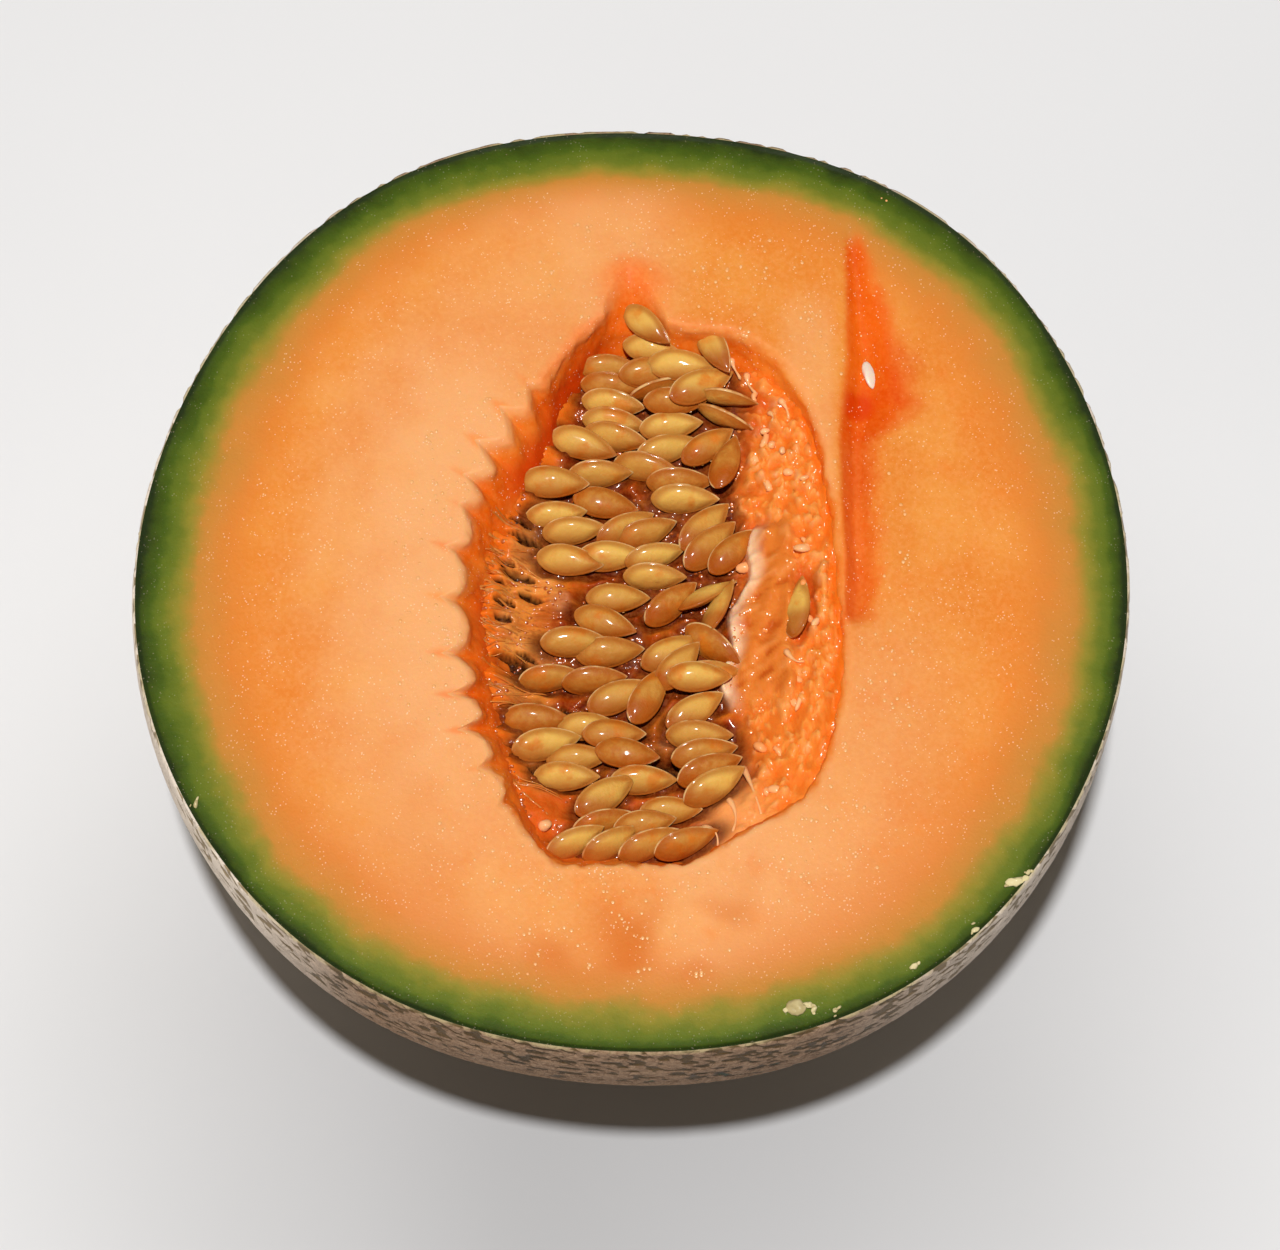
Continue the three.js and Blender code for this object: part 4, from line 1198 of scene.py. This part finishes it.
def make_fibres(rng, laid):
    """Strands from the left wall over the pulp towards the seeds, with both ends sunk in."""
    pieces = []
    while len(pieces) < FIBRE_COUNT:
        start_y = rng.uniform(*FIBRE_START_Y)
        turn = math.pi - math.asin(np.clip((start_y - HOLLOW_Y) / HALF_LENGTH, -1, 1))
        start_x, _ = wall_point(np.array([turn]), rng.uniform(*FIBRE_START_DEPTH))
        length = rng.uniform(*FIBRE_LENGTH)
        slant = rng.normal(*FIBRE_SLANT)
        part = np.linspace(0, 1, FIBRE_POINTS)
        x = start_x[0] + length * part
        waver = noise_at(flat_points(x, np.full_like(x, start_y)), 4.0, 60.0)
        y = start_y + slant * length * part + 0.9 * waver
        over_pit = pulp_relief(x, y)[1].pit.max() > 0.2
        if seed_gap(x, y, laid).min() < 0.3 or over_pit and len(pieces) % 3:
            continue
        thick = rng.uniform(*FIBRE_RADIUS)
        bridge = rng.uniform(*FIBRE_BRIDGE) * np.sin(math.pi * part)
        z = sunk_ends(evened(pulp_level(x, y), 2) + bridge + 0.1 * thick, 0.9, 0.3)
        radii = thick * (1.35 - 0.8 * part)
        strand = tube(np.stack([x, y, z], -1), radii, FIBRE_SIDES, 0.5)
        pieces.append((*strand, rng.uniform(0, 1)))
    return joined_object("fibres", pieces)


SMALL_LUMP, ROUND_LUMP, FINE_LUMP = (9, 14), (10, 14), (14, 22)


def lump(centre, size, yaw, rng, rings_and_sides):
    """A small uneven pebble shape."""
    rings, sides = rings_and_sides
    turn = round_turns(sides)
    wave = rng.uniform(0, 6)
    half_x, half_y, half_z = np.array(size) / 2
    loops = []
    for angle in math.pi * np.arange(1, rings) / rings:
        reach = math.sin(angle) * (1 + 0.16 * np.sin(2 * turn + wave + angle * 2))
        x, y = reach * np.cos(turn) * half_x, reach * np.sin(turn) * half_y
        loops.append(np.stack([x, y, np.full(sides, -math.cos(angle) * half_z)], -1))
    points, faces = loft(loops, (0, 0, -half_z), (0, 0, half_z))
    return points @ turned("z", yaw).T + centre, faces


GRAIN_COUNT, GRAIN_X, GRAIN_SIZE = 12, (14, 27), (0.9, 1.9)
WORM_COUNT, WORM_X, WORM_LENGTH, WORM_RADIUS = 8, (15, 29), (1.8, 4.2), (0.4, 0.7)
WORM_POINTS, WORM_SIDES = 9, 8
SLOPE_Y = (-42, 36)


def on_right_slope(rng, x_range):
    """A random place on the pulp's right slope, off the flap and clear of the wall."""
    while True:
        x, y = rng.uniform(*x_range), rng.uniform(*SLOPE_Y)
        _, outward = hollow_place(x, y)
        sheet, _ = fleshy_sheet(np.array([x]), np.array([y]))
        if outward < 0.9 and sheet[0] < 0.3 and x > 16 + 0.08 * abs(y):
            return x, y


def make_grains(rng):
    """Small flesh-coloured lumps and short thick threads, sunk in the pulp's right slope."""
    pieces = []
    for _ in range(GRAIN_COUNT):
        x, y = on_right_slope(rng, GRAIN_X)
        size = rng.uniform(*GRAIN_SIZE) * np.array([rng.uniform(1.0, 1.6), 1.0, 0.8])
        level = min(pulp_level(x, y)[0] - 0.2 * size[2], HEIGHT - 1.0)
        grain = lump((x, y, level), size, rng.uniform(0, 180), rng, SMALL_LUMP)
        pieces.append((*grain, rng.uniform(0, 1)))
    for _ in range(WORM_COUNT):
        x, y = on_right_slope(rng, WORM_X)
        length, thick = rng.uniform(*WORM_LENGTH), rng.uniform(*WORM_RADIUS)
        heading = rng.uniform(1.0, 2.7)
        part = np.linspace(-0.5, 0.5, WORM_POINTS)
        curl = rng.normal(0, 0.8) * (part**2) * length
        path_x = x + length * part * math.cos(heading) - curl * math.sin(heading)
        path_y = y + length * part * math.sin(heading) + curl * math.cos(heading)
        level = pulp_level(path_x, path_y).mean() - 0.2 * thick
        path_z = np.minimum(level + 0.1 * np.cos(5 * part), HEIGHT - 1.0)
        radii = thick * np.sqrt(np.clip(1 - (2 * part) ** 4, 0.05, 1))
        radii = radii * rng.uniform(0.75, 1.15, WORM_POINTS)
        thread = tube(np.stack([path_x, path_y, path_z], -1), radii, WORM_SIDES)
        pieces.append((*thread, rng.uniform(0.3, 1)))
    return joined_object("pulp_grains", pieces)


# Pale lumps on the pulp: x, y, length, width, yaw
PALE_BITS = (
    (26.5, 5.5, 2.6, 1.3, 5), (28.4, -7.2, 1.8, 1.0, 40), (-13.5, -39.3, 2.0, 1.9, 0),
    (21.0, 27.0, 1.4, 1.1, 20), (22.0, 24.4, 1.3, 1.2, 0), (23.6, 22.6, 1.2, 1.0, 60),
    (27.0, 17.5, 1.4, 0.9, 10),
)

# Pale strands on the pulp: three points each, and the radius
PALE_STRANDS = (
    ((16.9, -29.2), (18.6, -34.4), (20.0, -39.6), 0.5),
    ((14.6, -35.4), (15.8, -38.4), (15.2, -41.4), 0.5),
    ((10.6, -39.8), (12.6, -41.0), (13.0, -43.4), 0.45),
    ((23.8, -11.0), (25.0, -12.8), (26.8, -12.9), 0.5),
    ((15.7, 39.4), (16.2, 37.8), (17.2, 35.6), 0.55),
    ((18.2, 36.9), (18.5, 34.9), (19.8, 33.0), 0.6),
    ((23.3, 31.8), (24.4, 30.2), (24.7, 28.3), 0.55),
    ((21.6, 30.0), (22.2, 29.0), (22.0, 27.8), 0.4),
)
STRAND_POINTS, STRAND_SIDES = 15, 12

# The undeveloped white seed in the opened chamber: x, y, length, width, yaw
PALE_SEED = (37.7, 35.2, 4.5, 2.9, 105)
PALE_SEED_THICK, PALE_SEED_TILT, PALE_SEED_DEPTH = 1.5, 34, 2.3


def make_pale_bits(rng):
    pieces = []
    for x, y, length, width, yaw in PALE_BITS:
        level = pulp_level(x, y)[0] + 0.35 * width
        centre = (x, y, min(level, HEIGHT - 0.6 * width))
        bit = lump(centre, (length, width, 0.9 * width), yaw, rng, ROUND_LUMP)
        pieces.append((*bit, rng.uniform(0.5, 1)))
    part = np.linspace(0, 1, STRAND_POINTS)
    for *path, radius in PALE_STRANDS:
        x, y = (np.polyval(np.polyfit((0, 0.5, 1), row, 2), part) for row in zip(*path))
        z = np.minimum(evened(pulp_level(x, y), 3) + 0.4 * radius, HEIGHT - 1.5 * radius)
        z = sunk_ends(z, 0.8, 0.2)
        radii = radius * (0.75 + 0.35 * np.sin(5 * part + 3 * radius)) * (1 - 0.4 * part)
        strand = tube(np.stack([x, y, z], -1), radii, STRAND_SIDES)
        pieces.append((*strand, rng.uniform(0.3, 0.9)))
    return joined_object("pale_bits", pieces)


def make_pale_seed(rng):
    x, y, length, width, yaw = PALE_SEED
    points, faces = lump((0, 0, 0), (length, width, PALE_SEED_THICK), 0, rng, FINE_LUMP)
    spin = turned("z", yaw) @ turned("x", PALE_SEED_TILT)
    points = points @ spin.T + (x, y, HEIGHT - PALE_SEED_DEPTH)
    return make_object("undeveloped_seed", points, faces, {"tone": np.ones(len(points))})


# Wet beads: they stand where a face looks about halfway between the viewer and the main light
GLINT = np.array((-0.01, -0.28, 0.96))
BEAD_SIDES = 10
BEAD_DOME = 0.21
BEAD_UNDERSIDE = -0.4
BEAD_LOOPS = (
    (0.8, BEAD_UNDERSIDE), (1.0, 0.0), (0.9, 0.45), (0.68, 0.74), (0.4, 0.92), (0.16, 0.99),
)
BEAD_CLUSTER = 3.0
SEED_BEADS, SEED_BEAD_RADIUS, SEED_BEADS_DOWN_TO = 1200, (0.16, 0.38), 11
PULP_BEADS, PULP_BEAD_RADIUS, PULP_BEADS_DOWN_TO = 1400, (0.15, 0.35), 12
FLESH_BEADS, FLESH_BEAD_RADIUS, FLESH_BEADS_DOWN_TO = 400, (0.14, 0.3), 8
BEADED_RING = 1.4
# The wet patch beside the far rind, as x, y and radius, and the shelf of pulp that stays dry
WET_PATCH = (38.5, 61.5, 4.5)
DRY_SHELF_RIGHT_OF, DRY_SHELF_BEFORE = 6, -33


def bead(centre, radius, normal):
    """A wet bead: a low dome with a closed underside, standing along the surface's normal."""
    turn = round_turns(BEAD_SIDES)
    loops = []
    for reach, lift in BEAD_LOOPS:
        x, y = reach * np.cos(turn), reach * np.sin(turn)
        loops.append(np.stack([x, y, np.full(BEAD_SIDES, lift * BEAD_DOME)], -1) * radius)
    dome = BEAD_DOME * radius
    points, faces = loft(loops, (0, 0, BEAD_UNDERSIDE * dome), (0, 0, dome))
    spin = np.array(Vector((0, 0, 1)).rotation_difference(Vector(normal)).to_matrix())
    return points @ spin.T + centre, faces


def make_beads(rng, piece, name, count, sizes, allowed, tone_at=None):
    """Beads on a piece's faces that face up and a little forward, at the allowed places."""
    mesh = piece.data
    centres = np.zeros(len(mesh.polygons) * 3)
    normals = np.zeros(len(mesh.polygons) * 3)
    areas = np.zeros(len(mesh.polygons))
    mesh.polygons.foreach_get("center", centres)
    mesh.polygons.foreach_get("normal", normals)
    mesh.polygons.foreach_get("area", areas)
    centres, normals = centres.reshape(-1, 3) / MM, normals.reshape(-1, 3)
    usable = np.flatnonzero((normals @ GLINT > 0.95) & allowed(centres))
    share = areas[usable] * np.exp(BEAD_CLUSTER * noise_at(centres[usable], 3.0, 90.0))
    share /= share.sum()
    pieces = []
    for face in rng.choice(usable, count, replace=False, p=share):
        radius = rng.uniform(*sizes)
        tone = tone_at(centres[face]) if tone_at else rng.uniform(0, 1)
        pieces.append((*bead(centres[face], radius, normals[face]), tone))
    return joined_object(name, pieces)


def beaded_seeds(at):
    """The seeds that don't lie deep."""
    return at[:, 2] > HEIGHT - SEED_BEADS_DOWN_TO


def beaded_flesh(at):
    """The flesh round the hollow and down its wall, and the wet patch."""
    _, outward = hollow_place(at[:, 0], at[:, 1])
    patch_x, patch_y, patch_radius = WET_PATCH
    patch = np.hypot(at[:, 0] - patch_x, at[:, 1] - patch_y) < patch_radius
    return ((outward < BEADED_RING) | patch) & (at[:, 2] > HEIGHT - FLESH_BEADS_DOWN_TO)


def beaded_pulp(at):
    """All of the pulp that isn't deep, but the dry shelf at the near right end."""
    shelf = (at[:, 0] > DRY_SHELF_RIGHT_OF) & (at[:, 1] < DRY_SHELF_BEFORE)
    return (at[:, 2] > HEIGHT - PULP_BEADS_DOWN_TO) & ~shelf


def like_pulp(at):
    """A bead's tone, dark between the seeds and light on the right slope."""
    return float(smooth(13, 19, at[0]))


# Crumbs of rind on the cut edge: x, y, length, width, yaw
RIND_CRUMBS = (
    (58.3, -51.0, 3.0, 1.6, 30), (51.6, -58.2, 1.4, 0.7, 60), (42.4, -63.6, 1.3, 0.9, 10),
    (24.6, -70.6, 3.2, 2.0, 15), (30.6, -71.2, 1.3, 0.8, 40), (27.2, -70.9, 1.2, 0.8, 80),
    (-67.0, -37.9, 1.4, 0.7, 60), (60.1, -49.2, 1.1, 0.8, 0),
)
# The flakes of each crumb: size, and shift along the crumb
CRUMB_FLAKES = ((1, 0), (0.55, 0.55), (0.4, -0.45))
CRUMB_THICK = 0.7


def make_crumbs(rng):
    """Torn flakes of skin, each with two smaller ones beside it."""
    pieces = []
    for x, y, length, width, yaw in RIND_CRUMBS:
        for shrink, along in CRUMB_FLAKES:
            shift = turned("z", yaw) @ (length * along, rng.normal(0, 0.3) * width, 0)
            size = np.array([length, width, CRUMB_THICK]) * shrink * rng.uniform(0.8, 1.1)
            centre = np.array([x, y, HEIGHT + 0.1]) + shift
            points, faces = lump(centre, size, yaw + rng.normal(0, 25), rng, SMALL_LUMP)
            rough = noise_at(points, 0.55, 70.0)[:, None] * (0.25, 0.25, 0.3) * min(size[1], 1.2)
            pieces.append((points + rough, faces, rng.uniform(0.3, 1)))
    return joined_object("rind_crumbs", pieces)


# Stage
FLOOR_HALF = 2600.0
FLOOR_STEPS = 24
SKY_STRENGTH, SKY_TINT = 0.08, (1, 0.88, 0.7)
# Lights: name, elevation, azimuth, distance and size in metres, watts, colour
LIGHTS = (
    ("key", 79.4, -4, 2, 0.092, 39.9, (1, 1, 1)),
    ("fill", 16, -70, 2.2, 1.2, 7.0, (1, 0.9, 0.76)),
)


def make_floor():
    line = np.linspace(-FLOOR_HALF, FLOOR_HALF, FLOOR_STEPS)
    grid_x, grid_y = np.meshgrid(line, line)
    points = flat_points(grid_x.ravel(), grid_y.ravel())
    step = np.arange(FLOOR_STEPS - 1)
    corner = (step[:, None] * FLOOR_STEPS + step).ravel()
    faces = np.stack([corner, corner + 1, corner + FLOOR_STEPS + 1, corner + FLOOR_STEPS], -1)
    floor = make_object("pale_floor", points, faces.tolist())
    floor.data.materials.append(floor_material())


def towards(elevation, azimuth):
    """Unit vector from the part; azimuth 0 is the camera's side, and 90 the right."""
    up, side = math.radians(elevation), math.radians(azimuth)
    flat = math.cos(up)
    return Vector((flat * math.sin(side), -flat * math.cos(side), math.sin(up)))


def make_light(name, elevation, azimuth, distance, size, watts, tint):
    data = bpy.data.lights.new(name, "AREA")
    data.shape = "DISK"
    data.size = size
    data.energy = watts
    data.color = tint
    light = add_object(name, data)
    aim = Vector((0, 0, HEIGHT * MM))
    light.location = aim + towards(elevation, azimuth) * distance
    light.rotation_euler = (light.location - aim).to_track_quat("Z", "Y").to_euler()


def make_world():
    world = bpy.data.worlds.new("studio")
    world.use_nodes = True
    sky = world.node_tree.nodes["Background"].inputs
    sky["Color"].default_value = (*SKY_TINT, 1)
    sky["Strength"].default_value = SKY_STRENGTH
    bpy.context.scene.world = world


def make_camera():
    data = bpy.data.cameras.new("camera")
    data.sensor_width = SENSOR_WIDTH
    data.lens = LENS
    camera = add_object("camera", data)
    tilt = math.pi / 2 - CAMERA_ELEVATION
    camera.rotation_euler = (tilt, 0, 0)
    up = Vector((0, math.cos(tilt), math.sin(tilt)))
    back = Vector((0, -math.sin(tilt), math.cos(tilt)))
    place = back * CAMERA_DISTANCE + Vector((CAMERA_ASIDE, 0, 0)) - up * CAMERA_BELOW
    camera.location = (place + Vector((0, 0, HEIGHT))) * MM
    bpy.context.scene.camera = camera


bpy.context.scene.view_settings.view_transform = "Standard"

make_camera()
make_floor()
for light_values in LIGHTS:
    make_light(*light_values)
make_world()

rng = np.random.default_rng(7)
finish_piece(make_rind(), rind_material(), "melon_flesh", "melon_flesh")
flesh = finish_piece(make_flesh(), flesh_material(), "melon_flesh", "melon_flesh")
laid_seeds = lay_all_seeds()
pulp = finish_piece(make_pulp(laid_seeds), pulp_material(), "seed_mass", "seed_mass")
seeds = finish_piece(make_seeds(laid_seeds), seed_material(), "seed_mass", "seed_mass")
finish_piece(make_fibres(rng, laid_seeds), small_material("wet_fibre"), "seed_mass", "seed_mass")
finish_piece(make_grains(rng), small_material("wet_grain"), "seed_mass", "seed_mass")
finish_piece(make_pale_bits(rng), small_material("pale_wet"), "seed_mass", "seed_mass")
finish_piece(make_pale_seed(rng), small_material("white_seed"), "melon_flesh", "melon_flesh")
finish_piece(make_crumbs(rng), small_material("dry_crumb"), "melon_flesh", "melon_flesh")
beads = make_beads(rng, seeds, "seed_beads", SEED_BEADS, SEED_BEAD_RADIUS, beaded_seeds)
finish_piece(beads, small_material("bead_on_seed"), "seed_mass", "seed_mass")
beads = make_beads(rng, pulp, "pulp_beads", PULP_BEADS, PULP_BEAD_RADIUS, beaded_pulp, like_pulp)
finish_piece(beads, small_material("bead_on_pulp"), "seed_mass", "seed_mass")
beads = make_beads(rng, flesh, "flesh_beads", FLESH_BEADS, FLESH_BEAD_RADIUS, beaded_flesh)
finish_piece(beads, small_material("bead_on_flesh"), "melon_flesh", "melon_flesh")
